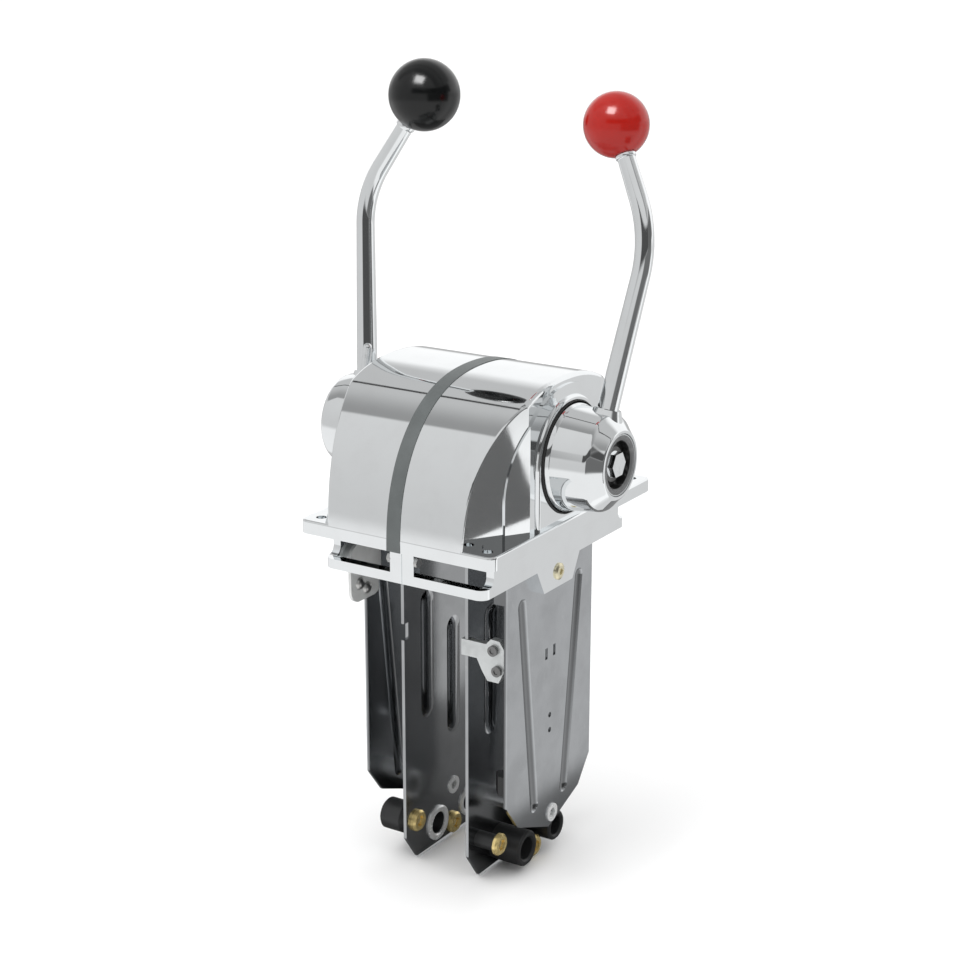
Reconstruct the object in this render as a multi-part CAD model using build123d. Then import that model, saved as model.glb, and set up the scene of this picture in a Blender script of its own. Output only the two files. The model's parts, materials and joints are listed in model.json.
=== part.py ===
from build123d import *
import math
import os

# Twin-lever boat engine control for deck-top mounting.
# X runs along the lever hubs, Y towards the back, Z up. The origin is the
# centre of the deck flange, on the face that rests on the deck.
# The shift side is at -X and the throttle side at +X. Each side is drawn at
# +X, and the shift side is its mirror image.

os.makedirs("parts", exist_ok=True)

# ---------------------------------------------------------------- dimensions
# Deck flange
flange_width = 130.0
flange_length = 180.0
flange_thickness = 8.0
flange_corner = 5.0
flange_edge = 1.2
deck_hole_radius = 3.0
deck_hole_inset = 9.0

# Domed housing, one cast half on each side of X = 0
wall = 3.5
dome_mid_y = -4.0
dome_height = 90.0
dome_power = 2.3
dome_points = 13
nose_half_width = 45.0
side_x = 59.0
flank_run = 46.0
dome_edge = 3.0
flank_edge = 1.2
arch_radius = 57.5
arch_mid_z = 28.0
arch_raise = 1.2
tower_radius = 36.0
tower_x = 62.0
tower_edge = 2.4
boss_radius = 19.0

# Trim strip over the joint of the two halves
strip_width = 9.0
strip_depth = 1.6
strip_proud = 0.3
seam_width = 0.25
seam_depth = 0.6

# Lower frame, which passes through the deck
frame_half_width = 54.5
frame_half_length = 80.0
frame_wall = 5.0
frame_drop = 21.2
rail_height = 5.8
rail_corner = 6.0
frame_post = 8.0
wall_setback = 10.0
wall_foot = 5.0
tab_drop = 15.0
tab_top_half = 24.0
tab_foot_half = 16.0
tab_screw_drop = 27.0
joint_screw_radius = 1.7

# Lever shafts
axis_y = -2.0
axis_z = 43.0
shaft_radius = 8.0
running_gap = 0.05
shaft_inner_x = 16.5
bush_radius = 11.0
bush_flange_radius = 14.0
bush_flange = 2.0

# Mechanism plates, parallel to YZ
sheet = 2.0
inner_plate_x = 21.2
plate_half = 48.0
outer_plate_foot = 160.0
outer_chamfer = (13.0, 17.0)
outer_apex = 191.0
inner_plate_foot = 198.0
inner_chamfer = (12.0, 17.0)
inner_bottom = 216.0
tongue_half = 30.0
tongue_shoulder = 3.0
bracket_front = -68.0
bracket_back = -38.0
bracket_top = -12.0
bracket_foot = -47.5
bracket_corner = 8.0
bracket_screws_at = ((-59.5, -36.5), (-52.8, -41.0))
tab_fold_width = 7.0
tab_fold_top = -23.0
tab_fold_foot = -35.0
groove_width = 9.0
groove_depth = 2.3
groove_top = (32.0, 40.0)
groove_foot = (17.0, 170.0)
rib_width = 14.0
rib_height = 2.6
rib_front = (-26.0, 53.0, 120.0)
rib_rear = (2.0, 78.0, 140.0)
slot_pitch = 9.0
slot_size = (2.6, 7.0)
slot_drop = 78.0
pin_hole_radius = 1.6
pin_hole_drops = (118.0, 127.6)
notch_depth = 4.2
notch_drops = (60.0, 70.2)

# Cable anchors at the foot of each inner plate
front_anchor = (-16.5, -201.0)
rear_anchor = (17.5, -200.0)
front_anchor_radius = 11.0
rear_anchor_radius = 9.3
anchor_bore_front = 7.0
anchor_bore_rear = 6.0
anchor_shoulder = 1.5
anchor_reach = 20.5
anchor_rim = 1.6
stud_places = ((-39.0, -190.0), (0.5, -207.5))
stud_radius = 2.5
post_radius = 5.0
post_length = 13.5
barrel_radius = 9.6
nut_across = 13.4
nut_height = 3.0
socket_across = 6.4
small_nut_across = 9.0
guide_offset = 34.0
guide_width = 12.0
guide_depth = 14.0
guide_height = 12.0
guide_drop = 157.0
eyelet_place = (1.3, -182.6)
eyelet_radius = 4.0
eyelet_wall = 1.2
eyelet_rim = 1.6

# Spacers and bars between the plates
spacer_offset = (24.0, 40.0)
spacer_radius = 6.0
screw_radius = 2.5
screw_head_radius = 4.5
bar_drop = 26.0
bar_size = (28.0, 8.0)
bar_screw_pitch = 18.0

# Lever hubs
hub_radius = 26.3
hub_base_radius = 31.5
hub_base_gap = 1.5
hub_floor_gap = 0.5
hub_flare_x = 67.0
hub_seat_radius = 18.0
hub_seat_depth = 6.0
hub_ring_wall = 4.4
hub_screw_across = 13.0
hub_screw_radius = 4.0

# Lever rods and knobs
lever_lean = 12.5
lever_root = 14.0
rod_root_radius = 6.3
rod_bend_radius_section = 5.4
rod_tip_radius = 4.7
rod_bend = 30.0
shift_lever = {"root_x": 83.0, "splay": 8.6, "lower": 112.3, "turn": 29.8, "upper": 69.5,
               "knob": 21.2, "cone_x": 94.0, "nose": 25.2, "end_x": 95.5}
throttle_lever = {"root_x": 80.5, "splay": 7.5, "lower": 104.1, "turn": 26.5, "upper": 66.4,
                  "knob": 18.5, "cone_x": 83.0, "nose": 20.0, "end_x": 93.5}
lever_boss_radius = 8.4
lug_radius = 2.6
lug_reach = 18.0
lug_offset = (-3.0, 8.0)
knob_neck = 6.4

# Cranks on the shafts
crank_hub_radius = 14.0
crank_x = 33.0
crank_sheet = 5.0
crank_pin_reach = 32.0
crank_end_radius = 7.0
crank_waist = 10.0
cable_pin_radius = 3.0
cross_pin_radius = 2.0
throttle_crank_tilt = 35.0
detent_step = 35.0
detent_depth = 1.0
detent_ball = 3.5

# Worked out from the dimensions above
frame_inner_x = frame_half_width - frame_wall
outer_plate_x = frame_inner_x - sheet
dome_half_length = flange_length / 2 + dome_mid_y
dome_front = dome_mid_y - dome_half_length
dome_back = dome_mid_y + dome_half_length
frame_mid_y = axis_y
cavity_x = side_x - wall
recess_floor = tower_x - wall
boss_x = outer_plate_x + sheet + 1.5
crank_from = inner_plate_x + sheet + bush_flange + 0.6
crank_to = outer_plate_x - bush_flange - 0.6


# ------------------------------------------------------------------- helpers
def save(node, shape):
    """Write one sub-part."""
    export_step(shape, f"parts/{node}.step")


def other_side(shape):
    """The same piece on the shift side."""
    return mirror(shape, about=Plane.YZ)


def side_face(points):
    """A face in the YZ plane from (y, z) points."""
    return make_face(Plane.YZ * Polyline(*points, close=True))


def slab(face, x_from, x_to):
    """A YZ face thickened between two X stations."""
    return extrude(Pos(x_from, 0, 0) * face, amount=x_to - x_from, dir=(1, 0, 0))


def block(x_from, x_to, y_from, y_to, z_from, z_to):
    """A box given by its low and high corners."""
    size = (x_to - x_from, y_to - y_from, z_to - z_from)
    middle = ((x_from + x_to) / 2, (y_from + y_to) / 2, (z_from + z_to) / 2)
    return Pos(*middle) * Box(*size)


def rod_x(radius, x_from, x_to, y=axis_y, z=axis_z):
    """A cylinder along X."""
    middle = Pos((x_from + x_to) / 2, y, z)
    return middle * Rot(0, 90, 0) * Cylinder(radius, x_to - x_from)


def tube_x(outer, inner, x_from, x_to, y=axis_y, z=axis_z):
    """A plain sleeve along X."""
    return rod_x(outer, x_from, x_to, y, z) - rod_x(inner, x_from - 1, x_to + 1, y, z)


def turned(points, y=axis_y, z=axis_z):
    """A piece turned about an X axis from (x, radius) points."""
    face = make_face(Plane.XZ * Polyline(*points, close=True))
    return Pos(0, y, z) * revolve(face, Axis.X)


def hex_x(across, x_from, x_to, y, z):
    """A hexagonal prism along X."""
    outline = RegularPolygon(across / 2, 6, major_radius=False)
    return slab(Pos(0, y, z) * (Plane.YZ * outline), x_from, x_to)


def stadium(start, end, width):
    """A YZ face with round ends from one (y, z) centre to the other."""
    length = math.dist(start, end) + width
    turn = math.degrees(math.atan2(end[1] - start[1], end[0] - start[0]))
    middle = Pos(0, (start[0] + end[0]) / 2, (start[1] + end[1]) / 2)
    return middle * (Plane.YZ * (Rot(0, 0, turn) * SlotOverall(length, width)))


def soften(shape, edges, radius):
    """Round the edges, with a smaller radius where the full one has no room."""
    for share in (1.0, 0.6, 0.3):
        try:
            return fillet(edges, radius * share)
        except ValueError:
            continue
    return shape


def arch(radius, mid_y, mid_z, foot_z):
    """A tombstone face: a half round over straight legs."""
    legs = side_face([(mid_y - radius, foot_z), (mid_y + radius, foot_z),
                      (mid_y + radius, mid_z), (mid_y - radius, mid_z)])
    return legs + Pos(0, mid_y, mid_z) * (Plane.YZ * Circle(radius))


# ------------------------------------------------------------------- housing
def dome_face(inset, foot_z=0.0):
    """The dome's side profile, a superellipse about the dome's middle."""
    half = dome_half_length - inset
    height = dome_height - inset
    points = []
    for i in range(dome_points):
        angle = math.pi * i / (dome_points - 1)
        reach = math.copysign(abs(math.cos(angle)) ** (2 / dome_power), math.cos(angle))
        points.append((dome_mid_y - half * reach, height * math.sin(angle) ** (2 / dome_power)))
    over = Spline(*points, tangents=[(0, 1), (0, -1)])
    front, back = points[0], points[-1]
    foot = Polyline(back, (back[0], foot_z - 1), (front[0], foot_z - 1), front)
    return make_face(Plane.YZ * (Curve() + over + foot))


def plan_block(inset, top=dome_height + 10):
    """What the dome keeps in plan: the nose narrows from the sides to the front."""
    slope = (side_x - nose_half_width) / flank_run
    front, back = dome_front, dome_back
    reach = 20.0
    outline = Polyline(
        (0, front - reach),
        (nose_half_width - inset - reach * slope, front - reach),
        (side_x - inset, front + flank_run),
        (side_x - inset, back - flank_run),
        (nose_half_width - inset - reach * slope, back + reach),
        (0, back + reach),
        close=True,
    )
    return extrude(make_face(outline), amount=top)


def housing_half():
    """One cast half: dome, side arch, hub tower, flange and lower frame."""
    dome = slab(dome_face(0), 0, side_x) & plan_block(0)
    crown = [e for e in dome.edges() if e.center().X > side_x - 1 and e.center().Z > dome_height / 2]
    dome = soften(dome, crown, dome_edge)
    flanks = [e for e in dome.edges().filter_by(GeomType.LINE, reverse=True)
              if nose_half_width - 1 < e.center().X < side_x - 1 and 20 < e.center().Z < dome_height - 15]
    dome = soften(dome, flanks, flank_edge)
    pad = slab(arch(arch_radius, dome_mid_y, arch_mid_z, 0), 0, side_x + 10)
    pad = pad & plan_block(-arch_raise)
    tower = slab(arch(tower_radius, axis_y, axis_z, 0), side_x - 5, tower_x)
    rim = [e for e in tower.edges() if abs(e.center().X - tower_x) < 0.01 and e.center().Z > 1]
    tower = fillet(rim, tower_edge)

    flange = block(0, flange_width / 2, -flange_length / 2, flange_length / 2, 0, flange_thickness)
    corners = flange.edges().filter_by(Axis.Z).group_by(Axis.X)[-1]
    flange = fillet(corners, flange_corner)
    rim = [e for e in flange.edges() if e.center().Z > flange_thickness - 0.01 and e.center().X > 1
           and abs(e.center().Y) < flange_length / 2 - 0.01]
    flange = fillet(rim, flange_edge)

    body = dome + pad + tower + flange + lower_frame()
    hollow = slab(dome_face(wall), -1, cavity_x) & plan_block(wall)
    well_y = frame_half_length - frame_wall - 1
    well = block(-1, frame_inner_x, frame_mid_y - well_y, frame_mid_y + well_y, -1, flange_thickness + 1)
    room = block(-1, side_x, dome_front, dome_back, flange_thickness, dome_height)
    body = body - hollow.intersect(room) - well
    boss = rod_x(boss_radius, boss_x, cavity_x + 1)
    body = body + boss
    body -= rod_x(bush_radius, boss_x - 1, tower_x + 1)
    body -= rod_x(hub_base_radius + hub_base_gap, recess_floor, flange_width)
    body -= strip_band()
    body -= block(-1, seam_width, -flange_length, -flange_length / 2 + seam_depth, -frame_drop,
                  flange_thickness)
    body -= block(-1, seam_width, -flange_length, frame_mid_y - frame_half_length + seam_depth,
                  -frame_drop - 1, 0)
    for y in (-1, 1):
        place = (flange_width / 2 - deck_hole_inset, y * (flange_length / 2 - deck_hole_inset))
        body -= Pos(*place, flange_thickness / 2) * Cylinder(deck_hole_radius, flange_thickness * 2)
    for y in (-1, 1):
        middle = frame_mid_y + y * (frame_half_length - frame_wall / 2)
        body -= rod_x(joint_screw_radius, -1, frame_post + 1, middle, joint_screw_z)
    body -= rod_x(screw_radius, frame_inner_x - 1, frame_half_width + 1, axis_y, -tab_screw_drop)
    return body


joint_screw_z = -(frame_drop - rail_height) / 2


def lower_frame():
    """The open frame under the flange: bottom rail, side walls, posts and tab."""
    front, back = frame_mid_y - frame_half_length, frame_mid_y + frame_half_length
    rail_top = rail_height - frame_drop
    rail = block(-frame_half_width, frame_half_width, front, back, -frame_drop, rail_top)
    rail = fillet(rail.edges().filter_by(Axis.Z), rail_corner)
    rail -= block(-frame_inner_x, frame_inner_x, front + frame_wall + 1, back - frame_wall - 1,
                  -frame_drop - 1, 0)
    rail = rail & block(0, frame_half_width, front, back, -frame_drop, 0)
    side = block(frame_inner_x, frame_half_width, front + wall_setback, back - wall_setback,
                 -frame_drop + 1, 1)
    frame = rail + side
    feet = [e for e in frame.edges().filter_by(Axis.X)
            if abs(e.center().Z - rail_top) < 0.01 and abs(abs(e.center().Y - frame_mid_y)
            - frame_half_length + wall_setback) < 0.01]
    frame = fillet(feet, wall_foot)
    for y_from, y_to in ((front, front + frame_wall + 1), (back - frame_wall - 1, back)):
        frame += block(0, frame_post, y_from, y_to, rail_top - 1, 1)
    tab = side_face([(axis_y - tab_top_half, -frame_drop + 1), (axis_y - tab_top_half, -frame_drop),
                     (axis_y - tab_foot_half, -frame_drop - tab_drop),
                     (axis_y + tab_foot_half, -frame_drop - tab_drop),
                     (axis_y + tab_top_half, -frame_drop), (axis_y + tab_top_half, -frame_drop + 1)])
    return frame + slab(tab, frame_inner_x, frame_half_width)


def strip_band():
    """The band that follows the dome from the front of the flange to the back."""
    band = dome_face(-strip_proud) - dome_face(strip_depth, foot_z=-2)
    band = slab(band, -strip_width / 2, strip_width / 2)
    band = band & block(-strip_width, strip_width, dome_front - 5, dome_back + 5, 0, dome_height + 5)
    return band - block(-strip_width, strip_width, dome_back - 10, dome_back + 5, 0, flange_thickness)


# -------------------------------------------------------------------- plates
def tongue(foot):
    """The round-topped part of a plate that carries the shaft."""
    return arch(tongue_half, axis_y, axis_z, foot)


def outer_plate():
    """The plate against the frame wall, with two pressed grooves."""
    half, low = plate_half, -outer_plate_foot
    in_y, in_z = outer_chamfer
    blade = side_face([(axis_y - half, -tongue_shoulder), (axis_y - half, low),
                       (axis_y - half + in_y, low - in_z), (axis_y, -outer_apex),
                       (axis_y + half - in_y, low - in_z), (axis_y + half, low),
                       (axis_y + half, -tongue_shoulder)])
    far = outer_plate_x + sheet
    plate = slab(blade + tongue(-tongue_shoulder - 1), outer_plate_x, far)
    for side in (-1, 1):
        top = (axis_y + side * groove_top[0], -groove_top[1])
        foot = (axis_y + side * groove_foot[0], -groove_foot[1])
        plate = swage(plate, top, foot, groove_width, groove_depth, far, outer_plate_x)
        slot = Pos(0, axis_y + side * slot_pitch / 2, -slot_drop) * (Plane.YZ * Rectangle(*slot_size))
        plate -= slab(slot, outer_plate_x - 1, far + 1)
    for drop in pin_hole_drops:
        plate -= rod_x(pin_hole_radius, outer_plate_x - 3, far + 1, axis_y, -drop)
    plate -= rod_x(bush_radius, outer_plate_x - 1, far + 1)
    plate -= rod_x(eyelet_radius, outer_plate_x - 3, far + 1, *eyelet_place)
    plate -= rod_x(screw_radius, outer_plate_x - 3, far + 1, axis_y, -tab_screw_drop)
    for y, z in through_screw_places():
        plate -= through_screw(y, z)
    return plate


def folded_tab():
    """The small tab folded inwards from the throttle side's outer plate."""
    edge = axis_y - plate_half
    return block(outer_plate_x - tab_fold_width, outer_plate_x + 0.1, edge, edge + sheet,
                 tab_fold_foot, tab_fold_top)


def swage(plate, start, end, width, depth, open_x, back_x):
    """Press a round-bottomed groove into a plate, open at one face and bulging at the other."""
    radius = (width ** 2 / 4 + depth ** 2) / (2 * depth)
    out = 1 if open_x > back_x else -1
    centre = open_x + out * (radius - depth)
    ends = [Vector(centre, *start), Vector(centre, *end)]

    def capsule(r):
        balls = [Pos(*point) * Sphere(r) for point in ends]
        return round_between(*ends, r) + balls[0] + balls[1]

    low, high = sorted((back_x - out * 2 * depth, open_x - out * 0.3))
    span = max(abs(value) for point in (start, end) for value in point) + 2 * width
    bulge = capsule(radius + sheet * 0.8) & block(low, high, -span, span, -span, span)
    return plate + bulge - capsule(radius)


def inner_plate():
    """The long plate next to the middle, with two ribs and the anchor holes."""
    half, low = plate_half, -inner_plate_foot
    in_y, in_z = inner_chamfer
    blade = side_face([(axis_y - half, -tongue_shoulder), (axis_y - half, low),
                       (axis_y - half + in_y, low - in_z), (axis_y, -inner_bottom),
                       (axis_y + half - in_y, low - in_z), (axis_y + half, low),
                       (axis_y + half, -tongue_shoulder)])
    near, far = inner_plate_x, inner_plate_x + sheet
    plate = slab(blade + tongue(-tongue_shoulder - 1), near, far)
    for y, top, foot in (rib_front, rib_rear):
        plate = swage(plate, (y, -top), (y, -foot), rib_width, rib_height, far, near)
    plate -= block(near - 1, far + 1, axis_y - half - 1, axis_y - half + notch_depth,
                   -notch_drops[1], -notch_drops[0])
    plate -= rod_x(bush_radius, near - 1, far + 1)
    plate -= rod_x(eyelet_radius, near - 1, far + 1, *eyelet_place)
    plate -= rod_x(front_anchor_radius - anchor_shoulder, near - 1, far + 1, *front_anchor)
    plate -= rod_x(rear_anchor_radius - anchor_shoulder, near - 1, far + 1, *rear_anchor)
    for y, z in stud_places:
        plate -= rod_x(stud_radius, near - 1, far + 1, y, z)
    for y, z in through_screw_places():
        plate -= rod_x(screw_radius, near - 1, far + 1, y, z)
    return plate


def through_screw_places():
    """Centres of the screws through both plates: two spacers, then the cross bar."""
    low, high = axis_z - spacer_offset[1], axis_z - bar_drop
    out, near = spacer_offset[0], bar_screw_pitch / 2
    return ((axis_y - out, low), (axis_y + out, low), (axis_y - near, high), (axis_y + near, high))


def spacers():
    """Two sleeves that hold the plates apart beside the shaft."""
    near, far = inner_plate_x + sheet, outer_plate_x
    return Compound(children=[tube_x(spacer_radius, screw_radius, near, far, y, z)
                              for y, z in through_screw_places()[:2]])


def through_screw(y, z):
    """A countersunk screw through both plates, flush outside."""
    near, far = inner_plate_x - nut_height - 1, outer_plate_x + sheet
    return turned([(near, 0), (near, screw_radius), (outer_plate_x, screw_radius),
                   (far, screw_head_radius), (far, 0)], y, z)


def spacer_screws():
    """The screws through the spacers and the cross bar."""
    return Compound(children=[through_screw(y, z) for y, z in through_screw_places()])


def spacer_nuts():
    """The nuts of the spacer screws, on the inner plate."""
    nuts = []
    for y, z in through_screw_places():
        nut = hex_x(small_nut_across, inner_plate_x - nut_height, inner_plate_x, y, z)
        nuts.append(nut - rod_x(screw_radius, 0, inner_plate_x + 1, y, z))
    return Compound(children=nuts)


def eyelet():
    """The hollow rivet that holds the plates apart at the bottom."""
    y, z = eyelet_place
    bore = eyelet_radius - eyelet_wall
    rim = eyelet_radius + eyelet_rim
    near, far = inner_plate_x, outer_plate_x + sheet
    return turned([(near - 0.8, bore), (near - 0.8, rim), (near, rim), (near, eyelet_radius),
                   (near + sheet, eyelet_radius), (near + sheet, rim), (outer_plate_x, rim),
                   (outer_plate_x, eyelet_radius), (far, eyelet_radius), (far, rim),
                   (far + 0.8, rim), (far + 0.8, bore)], y, z)


def anchor(place, radius, bore):
    """One hollow cable anchor, shouldered against the inner plate."""
    x = inner_plate_x + sheet
    spigot = radius - anchor_shoulder
    edge = 1.0
    return turned([(inner_plate_x, bore), (inner_plate_x, spigot), (x, spigot), (x, radius),
                   (x + anchor_reach - edge, radius), (x + anchor_reach, radius - edge),
                   (x + anchor_reach, bore + edge), (x + anchor_reach - edge, bore)], *place)


def anchors():
    """The front and rear anchor of one side."""
    return Compound(children=[anchor(front_anchor, front_anchor_radius, anchor_bore_front),
                              anchor(rear_anchor, rear_anchor_radius, anchor_bore_rear)])


def anchor_rims():
    """The turned-over rims on the inner face of the plate."""
    rims = []
    for place, radius, bore in ((front_anchor, front_anchor_radius, anchor_bore_front),
                                (rear_anchor, rear_anchor_radius, anchor_bore_rear)):
        near = inner_plate_x - anchor_rim
        rims.append(turned([(inner_plate_x, bore), (inner_plate_x, radius), (near + 0.6, radius),
                            (near, radius - 1.0), (near, bore + 1.0), (near + 0.6, bore)], *place))
    return Compound(children=rims)


def anchor_posts():
    """The sleeves on the anchor studs."""
    x = inner_plate_x + sheet
    end = x + post_length
    return Compound(children=[tube_x(post_radius, stud_radius, x, end, y, z) for y, z in stud_places])


def shift_barrel():
    """The wide capped barrel on the shift side's front stud, at +X like the rest."""
    x = inner_plate_x + sheet + post_length
    end = x + nut_height + 2.5
    near = x - post_length
    y, z = stud_places[0]
    return turned([(near, post_radius), (near, barrel_radius - 2), (near + 3, barrel_radius - 2),
                   (near + 5, barrel_radius), (end - 1, barrel_radius), (end, barrel_radius - 1),
                   (end, 0), (end - 1.5, 0), (end - 1.5, nut_across / 2 + 0.1), (x, nut_across / 2 + 0.1),
                   (x, post_radius)], y, z)


def anchor_studs():
    """The studs through the inner plate."""
    x_to = inner_plate_x + sheet + post_length + nut_height * 0.35
    return Compound(children=[rod_x(stud_radius, inner_plate_x - nut_height * 0.35, x_to, y, z)
                              for y, z in stud_places])


def anchor_nuts():
    """A nut on each end of each stud."""
    outside = inner_plate_x + sheet + post_length
    radius = nut_across / 2
    nuts = []
    for y, z in stud_places:
        for x, face in ((inner_plate_x, inner_plate_x - nut_height), (outside, outside + nut_height)):
            rim = x + (face - x) * 0.6
            crown = turned([(x, stud_radius), (x, radius), (rim, radius), (face, radius - 1.2),
                            (face, stud_radius)], y, z)
            deep = x + (face - x) * 0.35
            low, high = sorted((deep, face + (face - x) * 0.1))
            nuts.append(crown - hex_x(socket_across, low, high, y, z))
    return Compound(children=nuts)


def switch_bracket():
    """The plate behind the shift side's outer plate that carries a neutral switch."""
    middle = ((bracket_front + bracket_back) / 2, (bracket_top + bracket_foot) / 2)
    size = (bracket_back - bracket_front, bracket_top - bracket_foot)
    face = Pos(0, *middle) * (Plane.YZ * RectangleRounded(*size, bracket_corner))
    bracket = slab(face, outer_plate_x - sheet, outer_plate_x)
    top, foot = ((axis_y - place[0], -place[1]) for place in (groove_top, groove_foot))
    bracket -= slab(stadium(top, foot, groove_width + 2 * sheet + 1), outer_plate_x - 3, outer_plate_x + 1)
    for y, z in bracket_screws_at:
        bracket -= rod_x(screw_radius, outer_plate_x - 3, outer_plate_x + 1, y, z)
    return bracket


def ear_screws():
    """The round-headed screws in the switch bracket."""
    screws = []
    for y, z in bracket_screws_at:
        near, end = outer_plate_x - sheet, outer_plate_x + 1
        screws.append(turned([(end, 0), (end, screw_radius), (near, screw_radius), (near, 3.7),
                              (near - 1.4, 3.0), (near - 2.2, 1.6), (near - 2.2, 0)], y, z))
    return Compound(children=screws)


def cable_guide():
    """The wedge-shaped guide block low between the plates, on the outer plate."""
    x, y = outer_plate_x, axis_y - guide_offset
    half = guide_width / 2
    face = make_face(Polyline((x, y - half), (x - 9, y - half), (x - guide_depth, y), (x - 9, y + half),
                              (x, y + half), close=True))
    guide = Pos(0, 0, -guide_drop) * extrude(face, amount=guide_height)
    return guide - Pos(x - 6, y, -guide_drop) * Cylinder(2.5, 3 * guide_height)


# ------------------------------------------------------- shafts and bearings
def outer_bush():
    """The bush through the outer plate and the housing boss."""
    near = outer_plate_x - bush_flange
    return turned([(near, shaft_radius + running_gap), (near, bush_flange_radius),
                   (outer_plate_x, bush_flange_radius), (outer_plate_x, bush_radius),
                   (recess_floor, bush_radius), (recess_floor, shaft_radius + running_gap)])


def inner_bush():
    """The flanged bush in the inner plate."""
    near, far = inner_plate_x - 1.5, inner_plate_x + sheet + bush_flange
    return turned([(near, shaft_radius + running_gap), (near, bush_radius),
                   (inner_plate_x + sheet, bush_radius), (inner_plate_x + sheet, bush_flange_radius),
                   (far, bush_flange_radius), (far, shaft_radius + running_gap)])


def shaft(lever):
    """The lever shaft, with a circlip groove inside and a tapped end outside."""
    groove = shaft_inner_x + 1.2
    end = lever["end_x"] - hub_seat_depth - 2
    bar = turned([(shaft_inner_x, 0), (shaft_inner_x, shaft_radius - 0.6),
                  (shaft_inner_x + 0.6, shaft_radius),
                  (groove, shaft_radius), (groove, shaft_radius - 0.8), (groove + 1.2, shaft_radius - 0.8),
                  (groove + 1.2, shaft_radius), (end, shaft_radius), (end, hub_screw_radius),
                  (end - 14, hub_screw_radius), (end - 14, 0)])
    cross = Pos((crank_from + crank_x) / 2, axis_y, axis_z) * Cylinder(cross_pin_radius, 40)
    return bar - cross


def circlip():
    """The open ring in the shaft's groove."""
    x = shaft_inner_x + 1.25
    ring = tube_x(shaft_radius + 2.2, shaft_radius - 0.75, x, x + 1.1)
    return ring - block(x - 1, x + 3, axis_y - 2, axis_y + 2, axis_z - 20, axis_z)


def crank_face(tilt):
    """The two-ended crank arm, waisted between its hub and its pins."""
    arm = Plane.YZ * Circle(crank_hub_radius)
    for side in (-1, 1):
        arm += stadium((0, 0), (side * crank_pin_reach, 0), crank_waist)
        arm += Pos(0, side * crank_pin_reach, 0) * (Plane.YZ * Circle(crank_end_radius))
    return Pos(0, axis_y, axis_z) * Rot(tilt, 0, 0) * arm


def crank(tilt, notches):
    """The crank: a hub on the shaft and an arm with a cable pin hole at each end."""
    body = rod_x(crank_hub_radius, crank_from, crank_to)
    body += slab(crank_face(tilt), crank_x, crank_x + crank_sheet)
    body -= rod_x(shaft_radius, crank_from - 1, crank_to + 1)
    for y, z in crank_pin_places(tilt):
        body -= rod_x(cable_pin_radius, crank_x - 1, crank_x + crank_sheet + 1, y, z)
    for turn in notches:
        angle = math.radians(turn)
        reach = crank_hub_radius + detent_ball - detent_depth
        y, z = axis_y + reach * math.sin(angle), axis_z - reach * math.cos(angle)
        body -= Pos(bar_tool_x(), y, z) * Sphere(detent_ball)
    return body - Pos((crank_from + crank_x) / 2, axis_y, axis_z) * Cylinder(cross_pin_radius, 40)


def crank_pin_places(tilt):
    """Centres of the two cable pins."""
    angle = math.radians(tilt)
    along, up = crank_pin_reach * math.cos(angle), crank_pin_reach * math.sin(angle)
    return [(axis_y + side * along, axis_z + side * up)
            for side in (-1, 1)]


def cable_pins(tilt):
    """The headed pins that take the cable ends."""
    pins = []
    for y, z in crank_pin_places(tilt):
        near, far = crank_x - 6, crank_x + crank_sheet
        pin = rod_x(cable_pin_radius, near, far, y, z) + rod_x(cable_pin_radius + 1.5, far, far + 1.5, y, z)
        pins.append(pin - Pos(near + 2, y, z) * Cylinder(0.8, 20))
    return Compound(children=pins)


def cross_pin():
    """The pin that keys the crank to the shaft."""
    middle = (crank_from + crank_x) / 2
    return Pos(middle, axis_y, axis_z) * Cylinder(cross_pin_radius, 2 * crank_hub_radius - 1)


def bar_tool_x():
    """Where the brake or detent tool stands: beside the crank arm."""
    return (crank_x + crank_sheet + crank_to) / 2


def cross_bar():
    """The bar between the plates under the crank hub, tapped for its tool."""
    width, height = bar_size
    z = axis_z - bar_drop
    bar = block(inner_plate_x + sheet, outer_plate_x, axis_y - width / 2, axis_y + width / 2,
                z - height / 2, z + height / 2)
    for y, z in through_screw_places()[2:]:
        bar -= rod_x(screw_radius, inner_plate_x, outer_plate_x + 1, y, z)
    return bar


# ------------------------------------------------------------ hubs and levers
def lever_frame():
    """The plane of a lever: X across, Y up the lever, from the hub axis."""
    lean = math.radians(lever_lean)
    return Plane(origin=(0, axis_y, axis_z), x_dir=(1, 0, 0), z_dir=(0, -math.cos(lean), math.sin(lean)))


def lever_line(lever):
    """Root, bend and tip of a lever, in the plane of the lever."""
    splay, turn = math.radians(lever["splay"]), math.radians(lever["turn"])
    root = Vector(lever["root_x"], 24.0)
    bend = root + Vector(math.sin(splay), math.cos(splay)) * lever["lower"]
    tip = bend + Vector(-math.sin(turn), math.cos(turn)) * lever["upper"]
    start = root - Vector(math.sin(splay), math.cos(splay)) * (24.0 - lever_root)
    return start, bend, tip


def place(point):
    """A point of the lever's plane in space."""
    return lever_frame().from_local_coords(Vector(point.X, point.Y, 0))


def cone_between(start, end, start_radius, end_radius):
    """A tapered round bar between two points."""
    way = end - start
    seat = Plane(origin=start, z_dir=way)
    return seat * Pos(0, 0, way.length / 2) * Cone(start_radius, end_radius, way.length)


def round_between(start, end, radius):
    """A straight round bar between two points."""
    way = end - start
    return Plane(origin=start, z_dir=way) * Pos(0, 0, way.length / 2) * Cylinder(radius, way.length)


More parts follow.
